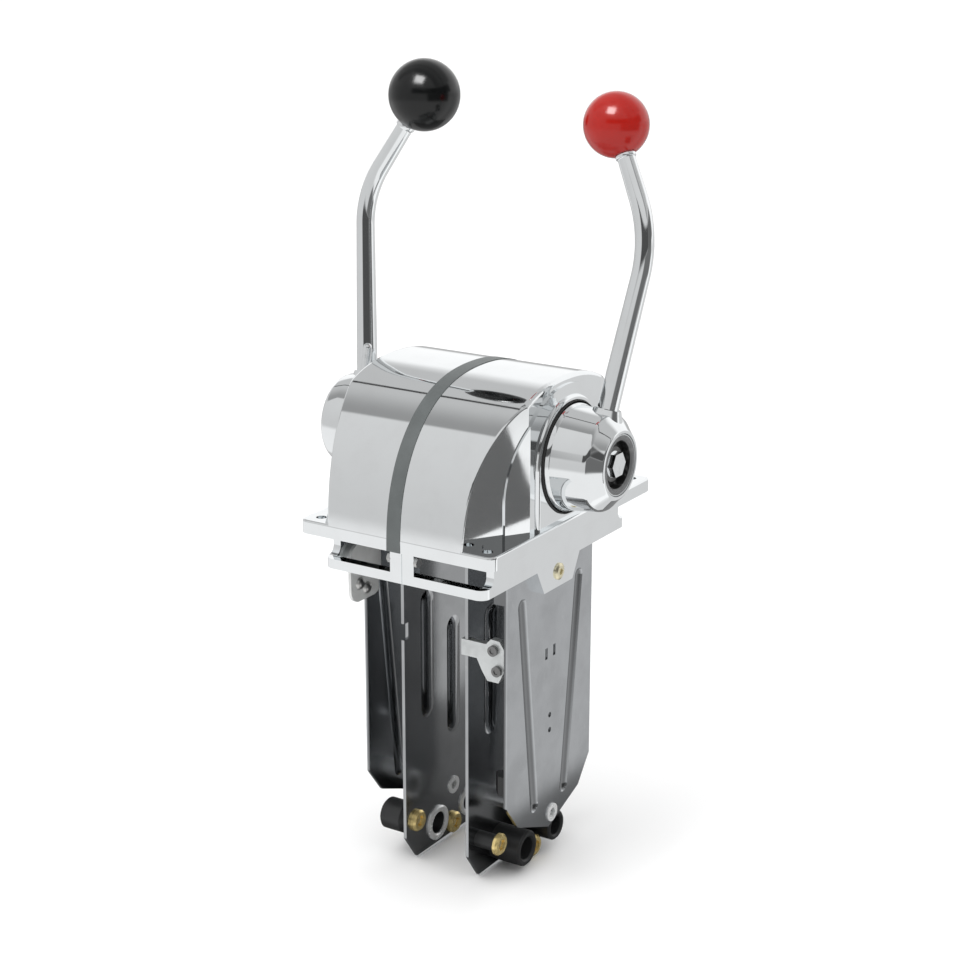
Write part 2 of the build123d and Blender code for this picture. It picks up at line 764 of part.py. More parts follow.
def lever_rod(lever):
    """The rod: a tapered lower leg, a bend and a tapered upper leg."""
    start, bend, tip = (place(p) for p in lever_line(lever))
    low = (bend - start).normalized()
    high = (tip - bend).normalized()
    turn = math.radians(low.get_angle(high))
    back = rod_bend * math.tan(turn / 2)
    first, last = bend - low * back, bend + high * back
    arc = TangentArc(first, last, tangent=low)
    bent = sweep(Plane(origin=first, z_dir=low) * Circle(rod_bend_radius_section), path=arc)
    tip_end = tip - high * 2
    return (cone_between(start, first, rod_root_radius, rod_bend_radius_section) + bent
            + cone_between(last, tip_end, rod_bend_radius_section, rod_tip_radius))


def knob(lever):
    """The ball, with a flat neck and a blind hole for the rod."""
    _, bend, tip = (place(p) for p in lever_line(lever))
    way = (tip - bend).normalized()
    radius = lever["knob"]
    seat = Plane(origin=tip, z_dir=way)
    flat = math.sqrt(radius ** 2 - knob_neck ** 2)
    ball = Sphere(radius) & Pos(0, 0, radius - flat) * Box(3 * radius, 3 * radius, 2 * radius)
    rod = lever_rod(lever)
    return seat * ball - rod


def hub(lever):
    """The lever hub: base disc, flare, barrel, cone and a seat for its ring."""
    base = recess_floor + hub_floor_gap
    flare = hub_base_radius - hub_radius
    lip = hub_flare_x - flare
    end, nose = lever["end_x"], lever["nose"]
    seat = end - hub_seat_depth
    profile = Polyline((hub_flare_x, hub_radius), (lever["cone_x"], hub_radius),
                       (end - 0.8, nose + 0.2), (end, nose - 0.6),
                       (end, hub_seat_radius), (seat, hub_seat_radius), (seat, hub_screw_radius + 0.2),
                       (seat - 2, hub_screw_radius + 0.2), (seat - 2, shaft_radius), (base, shaft_radius),
                       (base, hub_base_radius), (lip, hub_base_radius))
    curve = RadiusArc((lip, hub_base_radius), (hub_flare_x, hub_radius), flare)
    body = Pos(0, axis_y, axis_z) * revolve(make_face(Plane.XZ * (Curve() + profile + curve)), Axis.X)
    start, bend, _ = (place(p) for p in lever_line(lever))
    way = (bend - start).normalized()
    rise = hub_radius - lever_root
    boss = round_between(start, start + way * rise, lever_boss_radius)
    collar = cone_between(start + way * (rise - 2.5), start + way * (rise + 4), lever_boss_radius + 1.6,
                          rod_root_radius + 1.3)
    inside = rod_x(hub_radius - 5, base, end - 2)
    return body + (boss - inside) + (collar - inside) - lever_rod(lever)


def lever_lug(lever):
    """The small round-topped lug in front of the shift lever's root."""
    across, forward = lug_offset
    ahead = lever_frame().z_dir * forward
    foot = place(Vector(lever["root_x"] + across, hub_radius - 4)) + ahead
    top = place(Vector(lever["root_x"] + across, hub_radius + lug_reach)) + ahead
    tip = Pos(*top) * Sphere(lug_radius)
    return round_between(foot, top, lug_radius) + tip


def hub_ring(lever):
    """The ring in the hub's seat."""
    seat = lever["end_x"] - hub_seat_depth
    outer, inner = hub_seat_radius, hub_seat_radius - hub_ring_wall
    face = lever["end_x"] - 0.4
    return turned([(seat, inner), (seat, outer), (face - 0.6, outer), (face, outer - 0.6),
                   (face, inner + 1.2), (face - 1.2, inner)])


def hub_screw(lever):
    """The screw that holds the hub on its shaft."""
    seat = lever["end_x"] - hub_seat_depth
    head = hex_x(hub_screw_across, seat + 1.6, seat + 5.2, axis_y, axis_z)
    washer = rod_x(hub_screw_across / 2 + 3.5, seat, seat + 1.6)
    return head + washer + rod_x(hub_screw_radius - 0.05, seat - 14, seat + 0.5)


# ----------------------------------------------------------- throttle fittings
def stop_bracket():
    """The cast bracket hooked into the front notch of the inner plate."""
    left = inner_plate_x - 2.5
    right = outer_plate_x - 0.1
    top, foot = -notch_drops[0] - 0.2, -notch_drops[1] + 0.2
    outline = Polyline((left, top), (35.4, top), (38.6, top + 3.6), (44.3, top + 3.2), (right, top - 1.2),
                       (right, -75.0), (43.8, -82.4), (36.3, -82.4), (32.6, -76.8), (29.2, foot),
                       (left, foot), close=True)
    front = axis_y - plate_half
    plate = Pos(0, front + notch_depth - 0.2, 0) * extrude(Plane.XZ * make_face(outline), amount=notch_depth)
    for x, z in ((40.6, -63.0), (43.2, -75.0)):
        plate -= Pos(x, front, z) * Rot(90, 0, 0) * Cylinder(2.0, 20)
    return plate


def bracket_screws():
    """Two pan-head screws in the bracket."""
    front = axis_y - plate_half
    screws = []
    for x, z in ((40.6, -63.0), (43.2, -75.0)):
        shank = Pos(x, front + 3, z) * Rot(90, 0, 0) * Cylinder(2.0, 7)
        head = Pos(x, front - 1.2, z) * Rot(90, 0, 0) * Cylinder(3.1, 2.0)
        socket = Pos(x, front - 1.7, z) * Rot(90, 0, 0) * extrude(RegularPolygon(1.7, 6), amount=3)
        screws.append(shank + (head - socket))
    return Compound(children=screws)


def brake_shoe():
    """The friction shoe under the throttle crank's hub."""
    z_low = axis_z - bar_drop + bar_size[1] / 2 + 2.5
    x = bar_tool_x()
    half = (crank_to - crank_x - crank_sheet) / 2 - 0.6
    shoe = block(x - half, x + half, axis_y - 7, axis_y + 7, z_low, axis_z - crank_hub_radius + 4)
    return shoe - rod_x(crank_hub_radius + running_gap, x - 10, x + 10)


def brake_screw():
    """The adjusting screw that presses the shoe."""
    z = axis_z - bar_drop
    top = z + bar_size[1] / 2 + 2.5
    shank = Pos(bar_tool_x(), axis_y, (top + z - 14) / 2) * Cylinder(2.5, top - z + 14)
    return shank + Pos(bar_tool_x(), axis_y, z - 16) * extrude(RegularPolygon(4.2, 6), amount=4)


def detent_plunger():
    """The ball-nosed spring plunger that clicks into the shift crank's hub."""
    z = axis_z - bar_drop
    nose = axis_z - crank_hub_radius - 0.1
    centre = nose - detent_ball
    body = Pos(bar_tool_x(), axis_y, (centre + z - 12) / 2) * Cylinder(detent_ball + 0.5, centre - z + 12)
    return body + Pos(bar_tool_x(), axis_y, centre) * Sphere(detent_ball)


# ---------------------------------------------------------------- joint screws
def joint_screws():
    """The two screws that clamp the housing halves together at their posts."""
    screws = []
    for side in (-1, 1):
        y = frame_mid_y + side * (frame_half_length - frame_wall / 2)
        screw = rod_x(joint_screw_radius, -frame_post - 3, frame_post + 0.1, y, joint_screw_z)
        screw += rod_x(2.9, frame_post, frame_post + 2.0, y, joint_screw_z)
        screws.append(screw + hex_x(5.2, -frame_post - 2.2, -frame_post, y, joint_screw_z))
    return Compound(children=screws)


def tab_screw():
    """The screw through the frame's tab and the outer plate, with its nut."""
    z = -tab_screw_drop
    screw = rod_x(screw_radius, outer_plate_x - 4, frame_half_width + 0.1, axis_y, z)
    head = turned([(frame_half_width, 0), (frame_half_width, 5.0), (frame_half_width + 0.8, 5.0),
                   (frame_half_width + 1.6, 3.6), (frame_half_width + 1.6, 0)], axis_y, z)
    socket = hex_x(3.6, frame_half_width + 0.7, frame_half_width + 3, axis_y, z)
    return screw + (head - socket) + hex_x(8, outer_plate_x - 3, outer_plate_x, axis_y, z)


def both(maker):
    """A mirrored pair of the same piece, as one group."""
    right = maker()
    return Compound(children=[*right.solids(), *other_side(right).solids()])


# ------------------------------------------------------------------ sub-parts
def main():
    """Build every sub-part and write it."""
    half = housing_half()
    save("housing_right", half)
    save("housing_left", other_side(half))
    save("centre_trim_strip", strip_band())
    save("joint_screws", joint_screws())
    save("tab_screws", both(tab_screw))

    plate = outer_plate()
    save("outer_plate_right", plate + folded_tab())
    save("outer_plate_left", other_side(plate))
    plate = inner_plate()
    save("inner_plate_right", plate)
    save("inner_plate_left", other_side(plate))
    save("plate_spacers", both(spacers))
    save("spacer_screws", both(spacer_screws))
    save("spacer_nuts", both(spacer_nuts))
    save("plate_eyelets", both(eyelet))
    save("switch_bracket", other_side(switch_bracket()))
    save("ear_screws", other_side(ear_screws()))
    pair = anchors()
    save("cable_anchors_right", pair)
    save("cable_anchors_left", other_side(pair))
    save("anchor_rims", both(anchor_rims))
    save("anchor_posts", both(anchor_posts))
    save("anchor_studs", both(anchor_studs))
    save("anchor_nuts", both(anchor_nuts))
    save("shift_barrel", other_side(shift_barrel()))
    save("cable_guides", cable_guide())
    save("outer_bushes", both(outer_bush))
    save("inner_bushes", both(inner_bush))

    tool_hole = Pos(bar_tool_x(), axis_y, axis_z - bar_drop)
    save("brake_bar", cross_bar() - tool_hole * Cylinder(2.5, 20))
    save("detent_bar", other_side(cross_bar() - tool_hole * Cylinder(detent_ball + 0.5, 20)))
    save("brake_shoe", brake_shoe())
    save("brake_screw", brake_screw())
    save("detent_plunger", other_side(detent_plunger()))
    save("stop_bracket", stop_bracket())
    save("bracket_screws", bracket_screws())

    notches = (-detent_step, 0, detent_step)
    for side, lever, tilt, marks in (("shift", shift_lever, 0.0, notches),
                                     ("throttle", throttle_lever, -throttle_crank_tilt, ())):
        pieces = {
            "hub": hub(lever) + lever_lug(lever) if side == "shift" else hub(lever),
            "hub_ring": hub_ring(lever),
            "hub_screw": hub_screw(lever),
            "lever_rod": lever_rod(lever),
            "knob": knob(lever),
            "shaft": shaft(lever),
            "circlip": circlip(),
            "crank": crank(tilt, marks),
            "crank_pin": cross_pin(),
            "cable_pins": cable_pins(tilt),
        }
        for name, piece in pieces.items():
            save(f"{side}_{name}", other_side(piece) if side == "shift" else piece)


main()
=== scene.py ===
"""Looks of a twin-lever boat engine control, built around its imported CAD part.

The CAD part gives every rigid piece. This script gives the pieces their
finishes, makes the bent rods, hub drums, seals and collars that the CAD leaves
plain, and lights the control as a studio product shot on a pale floor.
"""

from __future__ import annotations

import json
import logging
import math
from dataclasses import dataclass
from enum import Enum
from typing import Callable, NamedTuple

import bmesh
import bpy
from mathutils import Matrix, Vector

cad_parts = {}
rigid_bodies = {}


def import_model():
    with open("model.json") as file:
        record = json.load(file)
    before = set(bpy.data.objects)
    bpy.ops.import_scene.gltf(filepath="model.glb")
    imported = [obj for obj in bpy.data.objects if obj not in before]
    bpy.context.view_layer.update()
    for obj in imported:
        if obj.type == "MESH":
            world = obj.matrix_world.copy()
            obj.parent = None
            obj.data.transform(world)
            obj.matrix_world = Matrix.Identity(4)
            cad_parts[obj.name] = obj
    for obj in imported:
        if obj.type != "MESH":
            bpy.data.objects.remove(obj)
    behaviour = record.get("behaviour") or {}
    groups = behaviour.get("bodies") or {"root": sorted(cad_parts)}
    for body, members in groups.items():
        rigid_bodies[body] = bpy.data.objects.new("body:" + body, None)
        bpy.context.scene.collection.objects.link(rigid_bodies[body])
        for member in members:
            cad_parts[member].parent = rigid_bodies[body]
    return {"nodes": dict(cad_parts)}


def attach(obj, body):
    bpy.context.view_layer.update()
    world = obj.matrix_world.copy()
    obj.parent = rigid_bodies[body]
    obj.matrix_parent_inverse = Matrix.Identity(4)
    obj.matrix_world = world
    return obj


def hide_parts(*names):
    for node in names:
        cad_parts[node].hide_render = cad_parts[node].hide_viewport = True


LOG = logging.getLogger("scene")

Colour = tuple[float, float, float, float]
Pair = tuple[float, float]
Triple = tuple[float, float, float]

# Y and Z of the axis that both hubs turn about, in metres.
HUB_AXIS = (-0.002, 0.043)


def grey(value: float, warmth: float = 0.0) -> Colour:
    """A near-neutral colour; positive warmth leans to yellow."""
    return (value * (1 + warmth), value, value * (1 - warmth), 1.0)


def shaded(colour: Colour, factor: float, lift: float = 0.0) -> Colour:
    """A darker or lighter version of a colour, with its blacks lifted."""
    red, green, blue = (min(1.0, c * factor + lift) for c in colour[:3])
    return (red, green, blue, 1.0)


# ---------- shaders
class Wire:
    """One value in a shader graph, with the arithmetic operators.

    Args:
        graph: The graph that owns the socket.
        socket: The output socket that carries the value.
    """

    def __init__(self, graph: Graph, socket: bpy.types.NodeSocket) -> None:
        self.graph = graph
        self.socket = socket

    def _maths(
        self, operation: str, first: Wire | float, second: Wire | float
    ) -> Wire:
        return self.graph.node(
            "ShaderNodeMath", {0: first, 1: second}, operation=operation
        )

    def __add__(self, other: Wire | float) -> Wire:
        return self._maths("ADD", self, other)

    def __radd__(self, other: Wire | float) -> Wire:
        return self._maths("ADD", other, self)

    def __sub__(self, other: Wire | float) -> Wire:
        return self._maths("SUBTRACT", self, other)

    def __rsub__(self, other: Wire | float) -> Wire:
        return self._maths("SUBTRACT", other, self)

    def __mul__(self, other: Wire | float) -> Wire:
        return self._maths("MULTIPLY", self, other)

    def __rmul__(self, other: Wire | float) -> Wire:
        return self._maths("MULTIPLY", other, self)

    def __truediv__(self, other: Wire | float) -> Wire:
        return self._maths("DIVIDE", self, other)

    def __pow__(self, other: Wire | float) -> Wire:
        return self._maths("POWER", self, other)

    def maths(self, operation: str, other: Wire | float = 0.0) -> Wire:
        """Any other operation of the Math node on this value."""
        return self._maths(operation, self, other)

    def at_least(self, other: Wire | float) -> Wire:
        """The larger of this value and another."""
        return self._maths("MAXIMUM", self, other)

    def towards(self, other: Wire | float, share: Wire | float) -> Wire:
        """This value moved by a share of the way to another."""
        return self + (other - self) * share

    def ramp(self, low: float, high: float) -> Wire:
        """This value mapped smoothly from low..high to 0..1."""
        return self.graph.node(
            "ShaderNodeMapRange",
            {0: self, 1: low, 2: high, 3: 0.0, 4: 1.0},
            interpolation_type="SMOOTHSTEP",
        )

    def within(self, band: Pair | None) -> Wire:
        """This value mapped smoothly from a band to 0..1; as it is for None."""
        return self.ramp(*band) if band else self


@dataclass(frozen=True)
class Blotches:
    """The pattern of a fractal noise.

    Attributes:
        scale: How fine it is; blotches per metre, roughly.
        detail: How many finer levels it holds.
        stretch: Its scale along each axis, on top of the common one.
        roughness: How strongly the finer levels count.
    """

    scale: float
    detail: float
    stretch: Triple | None = None
    roughness: float = 0.55


class Graph:
    """The node tree of one material or world.

    Args:
        owner: The data-block whose tree is filled.
    """

    def __init__(self, owner: bpy.types.Material | bpy.types.World) -> None:
        self.owner = owner
        self.owner.use_nodes = True
        self.tree = self.owner.node_tree
        self.tree.nodes.clear()
        self.noises: dict[Blotches, Wire] = {}

    @classmethod
    def finish(cls, name: str) -> Graph:
        """An empty graph on a new material."""
        return cls(bpy.data.materials.new(name))

    def node(
        self,
        kind: str,
        inputs: dict[str | int, object] | None = None,
        out: str | int = 0,
        **properties: object,
    ) -> Wire | None:
        """Add a node of any kind and wire its inputs.

        Args:
            kind: The node's type name.
            inputs: Values or wires by socket name or index.
            out: The output socket, by name or index.
            **properties: Attributes set on the node first.

        Returns:
            The chosen output as a wire, or None from a node with no outputs.
        """
        made = self.tree.nodes.new(kind)
        for key, value in properties.items():
            setattr(made, key, value)
        for key, value in (inputs or {}).items():
            socket = made.inputs[key]
            if isinstance(value, Wire):
                self.tree.links.new(value.socket, socket)
            else:
                socket.default_value = value
        return Wire(self, made.outputs[out]) if made.outputs else None

    def coordinates(self) -> Wire:
        """Object coordinates, in metres."""
        return self.node("ShaderNodeTexCoord", out="Object")

    def axis(self, vector: Wire, name: str) -> Wire:
        """One component of a vector, by its letter."""
        return self.node("ShaderNodeSeparateXYZ", {0: vector}, out=name)

    def radius(self, centre: Pair) -> Wire:
        """Distance from a line along X, given the line's Y and Z."""
        place = self.coordinates()
        y = self.axis(place, "Y") - centre[0]
        z = self.axis(place, "Z") - centre[1]
        return (y * y + z * z) ** 0.5

    def noise(self, pattern: Blotches) -> Wire:
        """A noise from 0 to 1, made once for each pattern."""
        if pattern not in self.noises:
            place = self.coordinates()
            if pattern.stretch:
                place = self.node(
                    "ShaderNodeMapping", {"Vector": place, "Scale": pattern.stretch}
                )
            self.noises[pattern] = self.node(
                "ShaderNodeTexNoise",
                {
                    "Vector": place,
                    "Scale": pattern.scale,
                    "Detail": pattern.detail,
                    "Roughness": pattern.roughness,
                },
                out="Fac",
            )
        return self.noises[pattern]

    def mix(
        self, factor: Wire | float, first: Wire | Colour, second: Wire | Colour
    ) -> Wire:
        """Blend of two colours."""
        return self.node(
            "ShaderNodeMix",
            {"Factor": factor, 6: first, 7: second},
            out=2,
            data_type="RGBA",
        )

    def bump(self, relief: Relief) -> Wire:
        """A bump with a relief's noise as its height."""
        return self.node(
            "ShaderNodeBump",
            {
                "Height": self.noise(relief.noise),
                "Distance": relief.depth,
                "Strength": relief.strength,
            },
        )

    def surface(self, inputs: dict[str | int, object]) -> bpy.types.Material:
        """Close the graph with one Principled surface.

        Args:
            inputs: Values or wires by Principled socket name.

        Returns:
            The finished material.
        """
        shader = self.node("ShaderNodeBsdfPrincipled", inputs)
        self.node("ShaderNodeOutputMaterial", {"Surface": shader})
        return self.owner

    def glow(self) -> bpy.types.Material:
        """Close the graph with plain white light and give the material."""
        light = self.node("ShaderNodeEmission", {"Color": grey(1.0), "Strength": 1.0})
        self.node("ShaderNodeOutputMaterial", {"Surface": light})
        return self.owner

    def sky(self, level: Wire) -> None:
        """Close the graph with a white background of that brightness."""
        light = self.node(
            "ShaderNodeBackground", {"Color": grey(1.0), "Strength": level}
        )
        self.node("ShaderNodeOutputWorld", {"Surface": light})


# ---------- finishes
@dataclass(frozen=True)
class Layer:
    """What one noise does to a finish.

    Attributes:
        noise: Its pattern.
        rough: The roughness that it adds at most.
        rough_band: The noise values between which the roughness rises; None
            where it follows the noise itself.
        tint: The colour that it lays on; None where it lays on none.
        cover: How much of that colour it lays on at most.
        tint_band: The noise values between which the colour sets in; None
            where it follows the noise itself.
    """

    noise: Blotches
    rough: float = 0.0
    rough_band: Pair | None = None
    tint: Colour | None = None
    cover: float = 0.0
    tint_band: Pair | None = None


@dataclass(frozen=True)
class Relief:
    """The fine relief of a surface.

    Attributes:
        noise: Its pattern.
        depth: Its depth, in metres.
        strength: How much of it shows, up to 1.
    """

    noise: Blotches
    depth: float
    strength: float = 1.0


@dataclass(frozen=True)
class Dip:
    """Painted shade on the bottom of what is pressed into a sheet from outside.

    Attributes:
        skin: Distance of the sheet's outer face from the middle plane.
        start: Depth behind the outer face at which the painted shade starts.
        end: Depth at which it is full.
        tint: Colour of the painted shade at the bottom.
        cover: How much of that colour it lays on at most.
        inward: The outward lean under which a face counts as the sheet's own
        inner side, which gets no painted shade.
    """

    skin: float
    start: float = 0.0003
    end: float = 0.0014
    tint: Colour = grey(0.11, -0.02)
    cover: float = 0.8
    inward: float = -0.5

    def lay(self, graph: Graph, tone: Wire) -> Wire:
        """The tone, darkened by painted shade where a spot lies in a pressing."""
        across = graph.axis(graph.coordinates(), "X")
        normal = graph.node("ShaderNodeNewGeometry", out="True Normal")
        outward = graph.axis(normal, "X") * across.maths("SIGN")
        depth = (self.skin - across.maths("ABSOLUTE")).ramp(self.start, self.end)
        seen = outward.maths("GREATER_THAN", self.inward)
        return graph.mix(depth * seen * self.cover, tone, self.tint)


@dataclass(frozen=True)
class Finish:
    """A finish: a base, the layers that vary it, and a fine relief.

    Attributes:
        name: Material name.
        tint: Body colour, or reflection colour of a metal.
        roughness: Roughness under the layers.
        metal: How metallic it is.
        layers: What varies it, from the bottom up.
        relief: Its fine relief.
        dip: The painted shade in the bottoms of its pressings.
        index: Index of refraction.
    """

    name: str
    tint: Colour
    roughness: float
    metal: float = 0.0
    layers: tuple[Layer, ...] = ()
    relief: Relief | None = None
    dip: Dip | None = None
    index: float = 1.5

    def base(
        self, graph: Graph
    ) -> tuple[Wire | Colour, Wire | float, Wire | float]:
        """Colour, metallic and roughness under the layers."""
        return self.tint, self.metal, self.roughness

    def build(self) -> bpy.types.Material:
        """Make the material."""
        graph = Graph.finish(self.name)
        tone, metal, rough = self.base(graph)
        for layer in self.layers:
            noise = graph.noise(layer.noise)
            if layer.rough:
                rough = rough + layer.rough * noise.within(layer.rough_band)
            if layer.tint:
                share = noise.within(layer.tint_band) * layer.cover
                tone = graph.mix(share, tone, layer.tint)
        # Painted shade in the bottoms of the pressings, darker where deeper.
        if self.dip:
            tone = self.dip.lay(graph, tone)
        inputs = {
            "Base Color": tone,
            "Metallic": metal,
            "Roughness": rough,
            "IOR": self.index,
        }
        if self.relief:
            inputs["Normal"] = graph.bump(self.relief)
        return graph.surface(inputs)


class Band(NamedTuple):
    """One ring of a Rings finish.

    Attributes:
        edge: Its outer radius, in metres.
        tint: Body or reflection colour.
        metal: How metallic it is.
        roughness: Roughness under the layers.
    """

    edge: float
    tint: Colour
    metal: float
    roughness: float


@dataclass(frozen=True)
class Rings(Finish):
    """A finish whose base is rings about the hubs' axis.

    Attributes:
        bands: The rings, from the middle out.
        blur: Half of the width over which one ring turns into the next.
    """

    bands: tuple[Band, ...] = ()
    blur: float = 0.0001

    def base(
        self, graph: Graph
    ) -> tuple[Wire | Colour, Wire | float, Wire | float]:
        """Colour, metallic and roughness under the layers."""
        radius = graph.radius(HUB_AXIS)
        tone, metal, rough = self.tint, self.metal, self.roughness
        for band in reversed(self.bands):
            outside = radius.ramp(band.edge - self.blur, band.edge + self.blur)
            tone = graph.mix(outside, band.tint, tone)
            metal = band.metal + (metal - band.metal) * outside
            rough = band.roughness + (rough - band.roughness) * outside
        return tone, metal, rough


def chrome(name: str, tint: Colour, roughness: float, ripple: float) -> Finish:
    """Polished plating that handling has dulled a little.

    Args:
        name: Material name.
        tint: Reflection colour.
        roughness: Roughness of the polish.
        ripple: Depth of the slow waviness under the plating, in metres.
    """
    film = Layer(
        Blotches(60.0, 4.0),
        rough=0.025,
        rough_band=(0.45, 0.75),
        tint=grey(0.76, -0.01),
        cover=0.3,
        tint_band=(0.4, 0.8),
    )
    wiping = Layer(Blotches(420.0, 2.0), rough=0.01)
    wave = Relief(Blotches(22.0, 1.0), ripple)
    return Finish(name, tint, roughness, 1.0, (film, wiping), wave)


def sheet(
    name: str, tint: Colour, roughness: float, dip: Dip | None = None
) -> Finish:
    """Rolled and plated sheet, with a faint grain down its length.

    Args:
        name: Material name.
        tint: Reflection colour.
        roughness: Roughness of the plating.
        dip: The painted shade in the bottoms of its pressings.
    """
    rolling = Blotches(1.0, 5.0, (900.0, 900.0, 26.0))
    grain = Layer(rolling, rough=0.05)
    cloud = Layer(
        Blotches(34.0, 4.0),
        rough=0.05,
        tint=shaded(tint, 0.86),
        cover=1.0,
        tint_band=(0.35, 0.7),
    )
    scuffs = Layer(
        Blotches(210.0, 3.0), tint=grey(0.6), cover=0.2, tint_band=(0.62, 0.78)
    )
    relief = Relief(rolling, 0.00001, 0.5)
    return Finish(name, tint, roughness, 1.0, (grain, cloud, scuffs), relief, dip)


def cast(
    name: str, tint: Colour, roughness: float, metal: float, mottle: float
) -> Finish:
    """Plated casting with a soft, slightly grainy skin.

    Args:
        name: Material name.
        tint: Body colour.
        roughness: Roughness of the skin.
        metal: How metallic it is.
        mottle: How strongly its tone and its skin vary.
    """
    skin = Blotches(380.0, 4.0)
    grain = Layer(skin, rough=0.15)
    dull = Layer(
        Blotches(90.0, 3.0),
        tint=shaded(tint, 0.7),
        cover=mottle,
        tint_band=(0.4, 0.75),
    )
    relief = Relief(skin, 0.0001 * mottle, 0.6)
    return Finish(name, tint, roughness, metal, (grain, dull), relief)


def turned(name: str, tint: Colour, roughness: float) -> Finish:
    """Machined metal with fine tool rings along the X axis.

    Args:
        name: Material name.
        tint: Reflection colour.
        roughness: Roughness of the clean metal.
    """
    rings = Blotches(1.0, 2.0, (2600.0, 60.0, 60.0))
    grain = Layer(rings, rough=0.12)
    stain = Layer(
        Blotches(120.0, 3.0),
        rough=0.1,
        rough_band=(0.5, 0.8),
        tint=shaded(tint, 0.6),
        cover=0.4,
        tint_band=(0.5, 0.8),
    )
    relief = Relief(rings, 0.00001, 0.4)
    return Finish(name, tint, roughness, 1.0, (grain, stain), relief)


def moulded(name: str, tint: Colour, roughness: float) -> Finish:
    """Moulded plastic with a fine eggshell grain.

    Args:
        name: Material name.
        tint: Body colour.
        roughness: Roughness of the skin.
    """
    cloud = Layer(
        Blotches(45.0, 3.0),
        rough=0.08,
        tint=shaded(tint, 1.35, 0.004),
        cover=0.6,
        tint_band=(0.35, 0.8),
    )
    eggshell = Relief(Blotches(1500.0, 2.0), 0.00002, 0.6)
    return Finish(name, tint, roughness, layers=(cloud,), relief=eggshell)


def gloss(name: str, tint: Colour, roughness: float) -> Finish:
    """Hard polished plastic, as on a ball knob.

    Args:
        name: Material name.
        tint: Body colour.
        roughness: Roughness of the polished skin.
    """
    smear = Layer(
        Blotches(70.0, 4.0),
        rough=0.09,
        rough_band=(0.42, 0.75),
        tint=shaded(tint, 1.12, 0.003),
        cover=0.6,
        tint_band=(0.42, 0.75),
    )
    swirl = Layer(Blotches(520.0, 3.0), rough=0.04)
    wave = Relief(Blotches(9.0, 1.0), 0.00008, 0.5)
    return Finish(
        name, tint, roughness, layers=(smear, swirl), relief=wave, index=1.46
    )


def ringed(name: str, *bands: Band) -> Rings:
    """Turned rings about the hubs' axis, plated or lacquered.

    Args:
        name: Material name.
        *bands: The rings, from the middle out. The last one has no end.
    """
    *inner, outer = bands
    wear = Layer(
        Blotches(260.0, 4.0),
        rough=0.06,
        tint=grey(0.4),
        cover=0.25,
        tint_band=(0.5, 0.8),
    )
    tool = Relief(Blotches(1.0, 2.0, (2400.0, 50.0, 50.0)), 0.00001, 0.3)
    return Rings(
        name,
        outer.tint,
        outer.roughness,
        outer.metal,
        (wear,),
        tool,
        bands=tuple(inner),
    )


class Finishes:
    """Every finish of the control, built once and shared."""

    def __init__(self) -> None:
        plating = (0.83, 0.85, 0.86, 1.0)
        lacquer = grey(0.006)
        recipes = {
            "chrome": chrome("chrome", plating, 0.035, 0.00003),
            "rod": chrome("rod_chrome", (0.84, 0.86, 0.87, 1.0), 0.05, 0.00002),
            # The outer plates' sheet has painted shade in the bottoms of its pressed
            # grooves.
            "sheet": sheet("sheet", (0.48, 0.495, 0.51, 1.0), 0.13, Dip(0.0495)),
            # A darker copy of the plates' sheet: painted shade for the inner plates,
            # which hang between the others.
            "inner": sheet("inner_sheet_shaded", (0.42, 0.43, 0.44, 1.0), 0.1),
            "zinc": cast("zinc", (0.66, 0.68, 0.68, 1.0), 0.3, 0.75, 0.5),
            # The switch bracket's tint is raised as painted light, to lift it out of
            # the shade that it hangs in.
            "cast": cast("bracket", (0.78, 0.79, 0.78, 1.0), 0.34, 0.2, 0.4),
            "rim": cast("rim", (0.88, 0.89, 0.89, 1.0), 0.18, 0.5, 0.08),
            "steel": turned("steel", (0.56, 0.56, 0.55, 1.0), 0.3),
            "dark": turned("dark_steel", (0.22, 0.22, 0.22, 1.0), 0.3),
            "pale": turned("pale_brass", (0.78, 0.72, 0.52, 1.0), 0.25),
            "brass": cast("brass", (0.86, 0.68, 0.30, 1.0), 0.16, 0.72, 0.12),
            "trim": moulded("trim", (0.095, 0.105, 0.105, 1.0), 0.45),
            "plastic": moulded("plastic", (0.014, 0.0145, 0.015, 1.0), 0.4),
            "nylon": moulded("nylon", (0.7, 0.69, 0.65, 1.0), 0.45),
            "rubber": moulded("rubber", (0.012, 0.012, 0.012, 1.0), 0.6),
            "black": gloss("knob_black", (0.0012, 0.0016, 0.0018, 1.0), 0.15),
            "red": gloss("knob_red", (0.36, 0.010, 0.006, 1.0), 0.13),
            "hub": ringed(
                "hub_seat",
                Band(0.018, lacquer, 0.0, 0.5),
                Band(math.inf, plating, 1.0, 0.04),
            ),
            "ring": ringed(
                "hub_ring",
                Band(0.0138, lacquer, 0.0, 0.5),
                Band(0.017, grey(0.115, -0.02), 0.0, 0.4),
                Band(math.inf, plating, 1.0, 0.05),
            ),
            "bolt": ringed(
                "hub_bolt",
                Band(0.0076, plating, 1.0, 0.08),
                Band(math.inf, grey(0.12), 0.8, 0.3),
            ),
        }
        self.made = {key: recipe.build() for key, recipe in recipes.items()}
        LOG.info("built %d finishes", len(self.made))

    def __getitem__(self, key: str) -> bpy.types.Material:
        return self.made[key]


